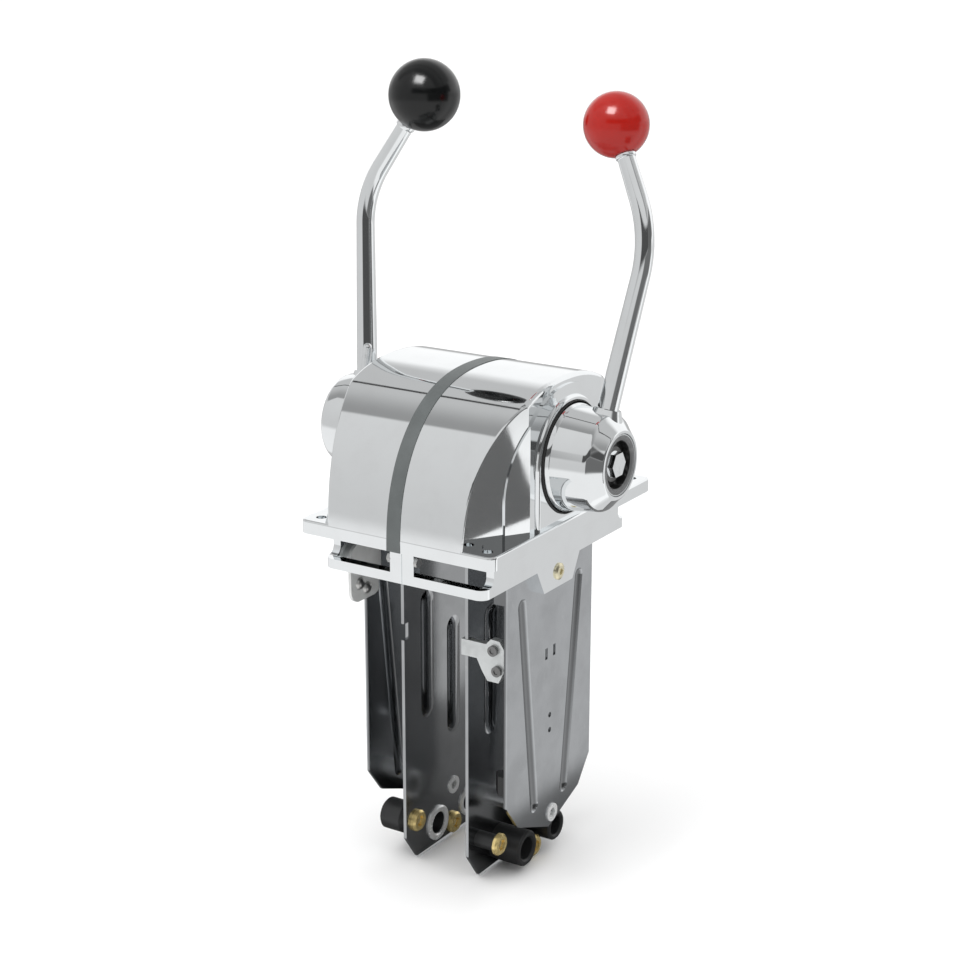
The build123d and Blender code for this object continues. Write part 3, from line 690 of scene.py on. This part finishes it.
# ---------- modelling
class Bench:
    """Edit-mode steps that the dressings share."""

    MERGE_DISTANCE = 0.000001

    @staticmethod
    def clear() -> None:
        """Leave edit mode and deselect every object."""
        if bpy.context.object and bpy.context.object.mode != "OBJECT":
            bpy.ops.object.mode_set(mode="OBJECT")
        bpy.ops.object.select_all(action="DESELECT")

    @staticmethod
    def start(primitive: Callable[..., set[str]], **options: object) -> None:
        """Add a primitive and open it for editing, all of it selected.

        Args:
            primitive: The operator that adds it.
            **options: The operator's settings.
        """
        Bench.clear()
        primitive(**options)
        bpy.ops.object.transform_apply(location=True, rotation=True, scale=True)
        bpy.ops.object.mode_set(mode="EDIT")
        bpy.ops.mesh.select_mode(type="FACE")
        bpy.ops.mesh.select_all(action="SELECT")

    @staticmethod
    def pick(test: Callable[[Vector], bool]) -> None:
        """Select the edited mesh's faces whose centre passes a test."""
        bpy.ops.mesh.select_all(action="DESELECT")
        mesh = bmesh.from_edit_mesh(bpy.context.object.data)
        for face in mesh.faces:
            face.select_set(test(face.calc_center_median()))
        bmesh.update_edit_mesh(bpy.context.object.data)

    @staticmethod
    def draw_out(step: Vector, end: Vector, scale: float) -> None:
        """Extrude the selected face and scale its far end.

        Args:
            step: How far it moves.
            end: The far end's middle.
            scale: The far end's size against the near end's.
        """
        bpy.ops.mesh.extrude_region_move(TRANSFORM_OT_translate={"value": step})
        bpy.ops.transform.resize(value=(scale,) * 3, center_override=end)

    @staticmethod
    def close(
        name: str,
        material: bpy.types.Material,
        body: str,
        slot: str = "chrome",
        smooth: float = 35.0,
    ) -> bpy.types.Object:
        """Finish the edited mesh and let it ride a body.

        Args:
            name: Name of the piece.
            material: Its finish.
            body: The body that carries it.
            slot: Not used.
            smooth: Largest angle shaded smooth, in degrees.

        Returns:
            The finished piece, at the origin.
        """
        bpy.ops.mesh.select_all(action="SELECT")
        bpy.ops.mesh.remove_doubles(threshold=Bench.MERGE_DISTANCE)
        bpy.ops.mesh.normals_make_consistent(inside=False)
        bpy.ops.object.mode_set(mode="OBJECT")
        piece = bpy.context.object
        piece.name = piece.data.name = name
        for modifier in list(piece.modifiers):
            bpy.ops.object.modifier_apply(modifier=modifier.name)
        bpy.ops.object.shade_smooth_by_angle(angle=math.radians(smooth))
        piece.data.materials.clear()
        piece.data.materials.append(material)
        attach(piece, body)
        LOG.info("%s: %d faces on %s", name, len(piece.data.polygons), body)
        Bench.clear()
        return piece


# ---------- assemblies
class Side(Enum):
    """The two sides of the control, by the sign of their X."""

    SHIFT = -1
    THROTTLE = 1

    @property
    def word(self) -> str:
        """The side as its CAD nodes spell it."""
        return "left" if self is Side.SHIFT else "right"

    @property
    def body(self) -> str:
        """The moving body on this side."""
        return "shift" if self is Side.SHIFT else "throttle"

    @property
    def out(self) -> Vector:
        """The direction away from the middle plane."""
        return Vector((float(self.value), 0.0, 0.0))


@dataclass
class Assembly:
    """A group of CAD nodes that share the job of dressing them.

    Attributes:
        nodes: The CAD nodes by name.
        finishes: The shared finishes.
    """

    nodes: dict[str, bpy.types.Object]
    finishes: Finishes

    def paint(self, finish: str, *names: str, smooth: float = 32.0) -> None:
        """Give CAD nodes a finish and shade their round faces smooth.

        Args:
            finish: Key of the finish.
            *names: CAD node names.
            smooth: Largest angle shaded smooth, in degrees.
        """
        for name in names:
            node = self.nodes[name]
            node.data.materials.clear()
            node.data.materials.append(self.finishes[finish])
            bpy.ops.object.select_all(action="DESELECT")
            node.select_set(True)
            bpy.context.view_layer.objects.active = node
            bpy.ops.object.shade_smooth_by_angle(angle=math.radians(smooth))
        LOG.info("%s: %s", finish, ", ".join(names))

    def build(self) -> None:
        """Dress this group."""
        raise NotImplementedError


class Housing(Assembly):
    """The chromed dome, its trim strip and its screws."""

    def build(self) -> None:
        """Dress the housing."""
        self.paint("chrome", "housing_left", "housing_right", smooth=28.0)
        self.paint("trim", "centre_trim_strip")
        self.paint("steel", "joint_screws", "ear_screws")
        self.paint("pale", "tab_screws")


class Plates(Assembly):
    """The four hanging plates with their spacers, rivets and bracket."""

    def build(self) -> None:
        """Dress the plates."""
        for side in Side:
            self.paint("sheet", f"outer_plate_{side.word}")
            self.paint("inner", f"inner_plate_{side.word}")
        self.paint("steel", "plate_spacers", "spacer_screws", "spacer_nuts")
        self.paint("rim", "plate_eyelets")
        self.paint("cast", "switch_bracket")


class Anchors(Assembly):
    """The cable anchors, posts and nuts at the foot of the plates."""

    def build(self) -> None:
        """Dress the anchors."""
        self.paint("plastic", "cable_anchors_left", "cable_anchors_right")
        self.paint("plastic", "anchor_posts", "shift_barrel", "cable_guides")
        self.paint("rim", "anchor_rims")
        self.paint("steel", "anchor_studs")
        self.paint("brass", "anchor_nuts")


class Fittings(Assembly):
    """The bushes, the cross bars and what the cranks run against."""

    def build(self) -> None:
        """Dress the fittings."""
        self.paint("nylon", "outer_bushes", "inner_bushes")
        self.paint("steel", "brake_bar", "detent_bar", "brake_screw")
        self.paint("steel", "detent_plunger")
        self.paint("dark", "bracket_screws")
        self.paint("rubber", "brake_shoe")
        self.paint("zinc", "stop_bracket")


@dataclass
class Lever(Assembly):
    """One lever with its hub, knob, shaft and crank. Sizes are in metres.

    Attributes:
        side: Which lever.
        ball: Key of the knob's finish.
        root: Where the rod's line starts, across and up the lever's plane.
        splay: The lower leg's lean outwards, in degrees.
        lower: Length of the lower leg.
        turn: The upper leg's lean inwards, in degrees.
        upper: Length of the upper leg, to the ball's centre.
        ball_radius: Radius of the ball.
        bend_radius: Radius of the bend's middle line.
        profile: The drum's outline, across the control and out from its axis.
        lean: The lever plane's lean to the back, in degrees.
        rod_radii: Radii of the rod at its root, its bend and its tip.
        sunk: How far the rod reaches down inside the hub from its line's start.
        short: How far below the ball's centre the rod ends.
        seal_x: Where the hub's seal sits across the control.
        seal_radius: Radius of the seal's middle line.
        seal_size: Width and depth of the seal's section.
        nut_radius: Radius of the locking collar under the ball.
        nut_height: Its height.
        nut_edge: Width of its rounded edges.
        nut_lip: Width of the lip round its underside.
        nut_boss: Depth of the boss inside the lip.
        neck: Radius of the ball's flat.
        gap: Clearance between the collar and the flat.
    """

    side: Side
    ball: str
    root: Pair
    splay: float
    lower: float
    turn: float
    upper: float
    ball_radius: float
    bend_radius: float
    profile: tuple[Pair, ...]
    lean: float = 12.5
    rod_radii: Triple = (0.0063, 0.0054, 0.0047)
    sunk: float = 0.010
    short: float = 0.002
    seal_x: float = 0.0615
    seal_radius: float = 0.03225
    seal_size: Pair = (0.0032, 0.0012)
    nut_radius: float = 0.0058
    nut_height: float = 0.0022
    nut_edge: float = 0.0004
    nut_lip: float = 0.0007
    nut_boss: float = 0.0006
    neck: float = 0.0064
    gap: float = 0.0002

    def build(self) -> None:
        """Dress the lever."""
        body = self.side.body
        self.paint("hub", f"{body}_hub", smooth=35.0)
        self.paint(self.ball, f"{body}_knob", smooth=50.0)
        self.paint("ring", f"{body}_hub_ring")
        self.paint("bolt", f"{body}_hub_screw")
        for part in ("shaft", "circlip", "crank", "crank_pin", "cable_pins"):
            self.paint("steel", f"{body}_{part}")
        self.seal()
        self.drum()
        self.rod()
        self.collar()

    @staticmethod
    def axis() -> Vector:
        """Where the hubs' axis crosses the middle plane."""
        return Vector((0.0, *HUB_AXIS))

    def seal(self) -> None:
        """The rubber ring in the gap between the hub and its recess."""
        centre = self.axis() + self.side.out * self.seal_x
        middle = centre + Vector((0.0, 0.0, self.seal_radius))
        width, depth = self.seal_size
        Bench.start(
            bpy.ops.mesh.primitive_circle_add,
            vertices=10,
            radius=0.5,
            location=middle,
            rotation=(math.pi / 2, 0.0, 0.0),
        )
        bpy.ops.transform.resize(value=(width, 1.0, depth), center_override=middle)
        bpy.ops.mesh.spin(
            steps=96, angle=2 * math.pi, center=centre, axis=(1.0, 0.0, 0.0)
        )
        name = f"{self.side.body}_hub_seal"
        Bench.close(name, self.finishes["rubber"], "unit", "dark_plastic", 60.0)

    def drum(self) -> None:
        """The hub's plated drum: a thin foot, a barrel, a shoulder and a rim."""
        way, axis = self.side.out, self.axis()
        across, radius = self.profile[0]
        Bench.start(
            bpy.ops.mesh.primitive_circle_add,
            vertices=128,
            radius=radius,
            fill_type="NGON",
            location=axis + way * across,
            rotation=(0.0, math.pi / 2, 0.0),
        )
        for place, size in self.profile[1:]:
            end = axis + way * place
            Bench.draw_out(way * (place - across), end, size / radius)
            across, radius = place, size
        name = f"{self.side.body}_drum"
        Bench.close(name, self.finishes["chrome"], self.side.body, smooth=30.0)

    def line(self) -> tuple[Vector, Vector, Vector]:
        """The rod's foot, the corner of its bend and the ball's centre."""
        splay, turn, lean = map(math.radians, (self.splay, self.turn, self.lean))
        across = self.side.out
        up = Vector((0.0, math.sin(lean), math.cos(lean)))
        low = across * math.sin(splay) + up * math.cos(splay)
        high = up * math.cos(turn) - across * math.sin(turn)
        root = self.axis() + across * self.root[0] + up * self.root[1]
        corner = root + low * self.lower
        return root - low * self.sunk, corner, corner + high * self.upper

    def rod(self) -> None:
        """The tapered chrome rod, drawn out and bent in one sweep."""
        foot, corner, ball = self.line()
        low, high = (corner - foot).normalized(), (ball - corner).normalized()
        turn = low.angle(high)
        back = self.bend_radius * math.tan(turn / 2)
        first, last = corner - low * back, corner + high * back
        tip = ball - high * self.short
        inward = (high - low * high.dot(low)).normalized()
        thick, middle, thin = self.rod_radii
        Bench.start(
            bpy.ops.mesh.primitive_circle_add,
            vertices=40,
            radius=thick,
            fill_type="NGON",
            location=foot,
            rotation=low.to_track_quat("Z", "Y").to_euler(),
        )
        Bench.draw_out(first - foot, first, middle / thick)
        bpy.ops.mesh.spin(
            steps=24,
            angle=turn,
            center=first + inward * self.bend_radius,
            axis=high.cross(low).normalized(),
        )
        Bench.draw_out(tip - last, tip, thin / middle)
        name = f"{self.side.body}_rod"
        piece = Bench.close(name, self.finishes["rod"], self.side.body, smooth=40.0)
        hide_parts(f"{self.side.body}_lever_rod")

    def collar(self) -> None:
        """The round locking collar where the rod enters the ball."""
        _, corner, centre = self.line()
        way = (centre - corner).normalized()
        flat = math.sqrt(self.ball_radius**2 - self.neck**2)
        middle = centre - way * (flat + self.gap + self.nut_height / 2)
        Bench.start(
            bpy.ops.mesh.primitive_cylinder_add,
            vertices=36,
            radius=self.nut_radius,
            depth=self.nut_height,
            location=middle,
            rotation=way.to_track_quat("Z", "Y").to_euler(),
        )
        Bench.pick(lambda at: (at - middle).dot(way) < -self.nut_height / 4)
        bpy.ops.mesh.inset(thickness=self.nut_lip)
        bpy.ops.mesh.extrude_region_move(
            TRANSFORM_OT_translate={"value": -way * self.nut_boss}
        )
        edge = bpy.context.object.modifiers.new("edge", "BEVEL")
        edge.width, edge.segments, edge.limit_method = self.nut_edge, 2, "ANGLE"
        name = f"{self.side.body}_collar"
        Bench.close(name, self.finishes["rod"], self.side.body)


# The drum's slim foot, the same on both hubs.
FOOT = ((0.0615, 0.0313), (0.0620, 0.0312), (0.0629, 0.0306), (0.0637, 0.0304))

# Radius of the hole that the hub's ring sits in, at the drum's inner rim.
RING_HOLE = 0.01805


def levers(
    nodes: dict[str, bpy.types.Object], finishes: Finishes
) -> tuple[Lever, Lever]:
    """The two levers, each with its own size, bend and drum.

    Args:
        nodes: The CAD nodes by name.
        finishes: The shared finishes.

    Returns:
        The shift lever and the throttle lever.
    """
    shift = Lever(
        nodes,
        finishes,
        side=Side.SHIFT,
        ball="black",
        root=(0.083, 0.024),
        splay=8.6,
        lower=0.1123,
        turn=29.8,
        upper=0.0695,
        ball_radius=0.0212,
        bend_radius=0.055,
        profile=(
            *FOOT,
            (0.0860, 0.0280),
            (0.0928, 0.0272),
            (0.0942, 0.0267),
            (0.0951, 0.0259),
            (0.09555, 0.0250),
            (0.09555, RING_HOLE),
            (0.0892, RING_HOLE),
        ),
    )
    throttle = Lever(
        nodes,
        finishes,
        side=Side.THROTTLE,
        ball="red",
        root=(0.0805, 0.024),
        splay=7.5,
        lower=0.1041,
        turn=26.5,
        upper=0.0664,
        ball_radius=0.0185,
        bend_radius=0.075,
        profile=(
            *FOOT,
            (0.0840, 0.0281),
            (0.0854, 0.0278),
            (0.0865, 0.0271),
            (0.0874, 0.0260),
            (0.0926, 0.0205),
            (0.0932, 0.0200),
            (0.09355, 0.0193),
            (0.09355, RING_HOLE),
            (0.0872, RING_HOLE),
        ),
    )
    return shift, throttle


# ---------- stage
@dataclass(frozen=True)
class Lamp:
    """A soft area lamp.

    Attributes:
        name: Object name.
        place: Where it stands, in metres.
        size: Width and height, in metres.
        power: Watts.
        only: The pieces that mirror it; empty for a lamp that lights everything
            and is mirrored in nothing.
        aim: The point it faces.
    """

    name: str
    place: Triple
    size: Pair
    power: float
    only: tuple[str, ...] = ()
    aim: Triple = (0.0, 0.0, 0.05)

    def build(self) -> None:
        """Add the lamp."""
        data = bpy.data.lights.new(self.name, "AREA")
        data.shape = "RECTANGLE"
        data.size, data.size_y = self.size
        data.energy = self.power
        lamp = bpy.data.objects.new(self.name, data)
        bpy.context.scene.collection.objects.link(lamp)
        way = Vector(self.aim) - Vector(self.place)
        turn = way.to_track_quat("-Z", "Y").to_matrix().to_4x4()
        lamp.matrix_world = Matrix.Translation(self.place) @ turn
        lamp.visible_glossy = bool(self.only)
        if self.only:
            lamp.visible_diffuse = False
            group = bpy.data.collections.new(f"{self.name}_lit")
            for name in self.only:
                group.objects.link(bpy.data.objects[name])
            lamp.light_linking.receiver_collection = group


@dataclass(frozen=True)
class Sector:
    """An upright part of the tent, as seen from the object.

    Attributes:
        turn: Its middle, in degrees from -Y towards +X.
        half: Half of its width, in degrees.
        top: The heights between which it fades out.
        foot: The heights between which it fades in; None where it reaches all
            the way down.
        strength: How much it counts, up to 1.
        fade: Half of the width of its soft sides, in degrees.
    """

    turn: float
    half: float
    top: Pair
    foot: Pair | None = None
    strength: float = 1.0
    fade: float = 5.0

    def mask(self, x: Wire, y: Wire, z: Wire) -> Wire:
        """How far a direction lies within the sector.

        Args:
            x: The direction's X.
            y: The direction's Y.
            z: The direction's Z.

        Returns:
            A mask from 0 to the sector's strength.
        """
        turn = math.radians(self.turn)
        level = (1.0 - z * z).at_least(0.0001) ** 0.5
        along = (x * math.sin(turn) - y * math.cos(turn)) / level
        sides = (self.half + self.fade, self.half - self.fade)
        inside = along.ramp(*(math.cos(math.radians(side)) for side in sides))
        if self.foot:
            inside = inside * z.ramp(*self.foot)
        return inside * (1.0 - z.ramp(*self.top)) * self.strength


@dataclass(frozen=True)
class Tent:
    """The light tent that the polished pieces mirror.

    A direction's brightness comes from a front wall, a grey roof with one dark
    seam and a bright back wall. Dark gaps open at the front right, where the
    camera looks in, and at the rear left. Brightnesses run from 0 to about 1,
    and the heights and depths of the fades are those of a unit direction.

    Attributes:
        front: The front wall, level with the object.
        rise: How much brighter the front wall gets upwards.
        ground: The front wall's foot.
        ground_fade: Where the foot turns into the wall.
        back: The back wall.
        under: Below the back wall.
        under_fade: Where that turns into the back wall.
        corner: Where the front wall turns into the back wall.
        roof: The roof over the front wall's top.
        slope: The roof towards the back.
        brow: Where the front wall's top turns into the roof.
        ridge: Where the roof turns into its slope.
        rear: Where the slope turns into the back wall.
        eaves: Where the walls turn into the roof.
        seam: Front and back edge of the dark seam in the roof.
        seam_depth: How dark the seam is.
        gaps: The dark gaps: at the right, round the camera, high at the right
            and at the rear left.
        gap_depth: How dark the gaps are.
        strip: A bright strip beside the right gap.
    """

    front: float = 0.66
    rise: float = 0.1
    ground: float = 0.95
    ground_fade: Pair = (-0.28, -0.14)
    back: float = 1.1
    under: float = 0.72
    under_fade: Pair = (-0.05, 0.1)
    corner: Pair = (0.3, 0.5)
    roof: float = 0.34
    slope: float = 0.58
    brow: Pair = (-0.27, -0.23)
    ridge: Pair = (-0.2, 0.2)
    rear: Pair = (0.6, 0.78)
    eaves: Pair = (0.4, 0.5)
    seam: tuple[Pair, Pair] = ((0.24, 0.25), (0.27, 0.28))
    seam_depth: float = 0.9
    gaps: tuple[Sector, ...] = (
        Sector(80.0, 36.0, (0.16, 0.24), (-0.3, -0.2), 0.8),
        Sector(34.0, 42.0, (0.4, 0.46), (0.14, 0.22), 0.94),
        Sector(100.0, 28.0, (0.4, 0.46), (0.1, 0.14), 0.85),
        Sector(-140.0, 32.0, (-0.02, 0.05), None, 0.35),
    )
    gap_depth: float = 0.94
    strip: Sector = Sector(122.0, 12.0, (-0.1, 0.0))

    def walls(self, y: Wire, z: Wire) -> tuple[Wire, Wire]:
        """Brightness of the front wall, and of both walls together."""
        front = self.front + self.rise * z.at_least(0.0)
        front = front.towards(self.ground, 1.0 - z.ramp(*self.ground_fade))
        back = self.under + (self.back - self.under) * z.ramp(*self.under_fade)
        return front, front.towards(back, y.ramp(*self.corner))

    def top(self, y: Wire, front: Wire) -> Wire:
        """Brightness of the roof, which starts as bright as the front wall."""
        slope = self.roof + (self.slope - self.roof) * y.ramp(*self.ridge)
        slope = slope.towards(self.back, y.ramp(*self.rear))
        roof = front.towards(slope, y.ramp(*self.brow))
        near, far = self.seam
        seam = y.ramp(*near) * (1.0 - y.ramp(*far))
        return roof * (1.0 - self.seam_depth * seam)

    def build(self) -> None:
        """Hang the tent as the world."""
        world = bpy.data.worlds.new("tent")
        bpy.context.scene.world = world
        graph = Graph(world)
        way = graph.node("ShaderNodeTexCoord", out="Generated")
        x, y, z = (graph.axis(way, name) for name in "XYZ")
        front, walls = self.walls(y, z)
        level = walls.towards(self.top(y, front), z.ramp(*self.eaves))
        level = level.towards(self.back, self.strip.mask(x, y, z))
        dark, *others = (gap.mask(x, y, z) for gap in self.gaps)
        for other in others:
            dark = dark.at_least(other)
        graph.sky(level * (1.0 - self.gap_depth * dark))


@dataclass(frozen=True)
class Flag:
    """A dark card beside the set, which only polished pieces mirror.

    Attributes:
        name: Object name.
        place: Its middle, in metres.
        size: Width and height, in metres.
        aim: The point it faces.
        tilt: Turn in its own plane, in degrees.
        tone: How light the card is.
        roughness: How matt it is.
    """

    name: str
    place: Triple
    size: Pair
    aim: Triple
    tilt: float = 0.0
    tone: float = 0.12
    roughness: float = 0.9

    def build(self) -> None:
        """Stand the card up."""
        Bench.clear()
        way = Vector(self.aim) - Vector(self.place)
        bpy.ops.mesh.primitive_plane_add(size=1.0)
        card = bpy.context.object
        card.name = self.name
        card.matrix_world = (
            Matrix.Translation(self.place)
            @ way.to_track_quat("Z", "Y").to_matrix().to_4x4()
            @ Matrix.Rotation(math.radians(self.tilt), 4, "Z")
            @ Matrix.Diagonal((*self.size, 1.0, 1.0))
        )
        card.data.materials.append(
            Finish(self.name, grey(self.tone), self.roughness).build()
        )
        card.visible_camera = card.visible_shadow = False
        card.visible_diffuse = False


@dataclass(frozen=True)
class Studio:
    """The floor, the lamps, the tent, the flags and the camera.

    Attributes:
        floor_z: Height of the floor, in metres.
        floor_size: Width of the floor, in metres.
        shell_radius: Radius of the white shell round the set, in metres.
        azimuth: The camera's angle from -Y towards +X, in degrees.
        elevation: Its angle above the level, in degrees.
        camera_place: Where it stands, in metres.
        lens: Its focal length, in millimetres.
        sensor: Width of its sensor, in millimetres.
        clip: Nearest and farthest distance that it sees, in metres.
        daylight: Strength of the light from above.
        softness: How wide the light from above is, in degrees.
        lamps: The lamps.
        flags: The dark cards.
    """

    floor_z: float = -0.2165
    floor_size: float = 60.0
    shell_radius: float = 18.0
    azimuth: float = 32.61
    elevation: float = 17.02
    camera_place: Triple = (0.6132, -0.9596, 0.3671)
    lens: float = 76.31
    sensor: float = 36.0
    clip: Pair = (0.05, 30.0)
    daylight: float = 1.9
    softness: float = 100.0
    lamps: tuple[Lamp, ...] = (
        Lamp("key", (-0.30, -0.95, 1.15), (0.6, 0.5), 4.5),
        Lamp("left", (-1.3, -0.7, 1.0), (1.2, 1.2), 4.5),
        Lamp("right", (1.5, -0.3, 0.8), (1.0, 1.4), 4.0),
        Lamp(
            "sparkle",
            (0.065, -0.71, 1.29),
            (0.62, 0.56),
            18.0,
            only=("shift_knob", "throttle_knob"),
            aim=(0.0, 0.03, 0.23),
        ),
    )
    flags: tuple[Flag, ...] = (
        Flag(
            "flank_flag",
            (0.300, -0.008, -0.004),
            (0.11, 0.15),
            aim=(0.055, -0.058, 0.045),
            tilt=-18.0,
        ),
        # A dark card on the floor behind the plates that only reflections see:
        # painted shadow of the control on the floor, for the plates to mirror.
        Flag(
            "floor_flag",
            (-0.08, 0.2, -0.214),
            (0.36, 0.54),
            aim=(-0.08, 0.2, 1.0),
            tone=0.16,
        ),
    )

    def build(self) -> None:
        """Set the stage."""
        self.floor()
        for lamp in self.lamps:
            lamp.build()
        for flag in self.flags:
            flag.build()
        self.sun()
        self.backdrop()
        Tent().build()
        self.camera()
        bpy.context.scene.view_settings.view_transform = "Standard"

    def sun(self) -> None:
        """A wide soft light from above, even over the whole floor."""
        data = bpy.data.lights.new("daylight", "SUN")
        data.energy = self.daylight
        data.angle = math.radians(self.softness)
        sun = bpy.data.objects.new("daylight", data)
        bpy.context.scene.collection.objects.link(sun)
        sun.visible_glossy = False

    def floor(self) -> None:
        """A pale floor that the hanging control just clears."""
        bpy.ops.mesh.primitive_plane_add(
            size=self.floor_size, location=(0, 0, self.floor_z)
        )
        floor = bpy.context.object
        floor.name = "floor"
        floor.visible_glossy = False
        shade = Layer(Blotches(2.0, 2.0), tint=grey(0.87), cover=0.2)
        paint = Finish("floor", grey(0.9), 0.7, layers=(shade,))
        floor.data.materials.append(paint.build())

    def backdrop(self) -> None:
        """A white shell round the set, which only the camera sees."""
        Bench.clear()
        bpy.ops.mesh.primitive_uv_sphere_add(
            segments=48, ring_count=24, radius=self.shell_radius
        )
        shell = bpy.context.object
        shell.name = "backdrop"
        shell.data.materials.append(Graph.finish("backdrop").glow())
        shell.visible_glossy = shell.visible_diffuse = False
        shell.visible_shadow = shell.visible_transmission = False

    def camera(self) -> None:
        """The camera, level with the horizon and turned by its two angles."""
        data = bpy.data.cameras.new("camera")
        data.lens = self.lens
        data.sensor_width = self.sensor
        data.clip_start, data.clip_end = self.clip
        camera = bpy.data.objects.new("camera", data)
        bpy.context.scene.collection.objects.link(camera)
        turn, rise = math.radians(self.azimuth), math.radians(self.elevation)
        level = Vector((math.sin(turn), -math.cos(turn), 0.0))
        back = level * math.cos(rise) + Vector((0.0, 0.0, math.sin(rise)))
        right = Vector((math.cos(turn), math.sin(turn), 0.0))
        axes = Matrix((right, back.cross(right), back)).transposed()
        camera.matrix_world = Matrix.Translation(self.camera_place) @ axes.to_4x4()
        bpy.context.scene.camera = camera


def main() -> None:
    """Build the whole scene."""
    logging.basicConfig(level=logging.INFO, format="%(name)s: %(message)s")
    for made in list(bpy.data.objects):
        bpy.data.objects.remove(made)
    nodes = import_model()["nodes"]
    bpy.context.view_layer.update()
    finishes = Finishes()
    assemblies = (
        Housing(nodes, finishes),
        Plates(nodes, finishes),
        Anchors(nodes, finishes),
        Fittings(nodes, finishes),
        *levers(nodes, finishes),
    )
    for assembly in assemblies:
        assembly.build()
    Studio().build()


if __name__ == "__main__":
    main()
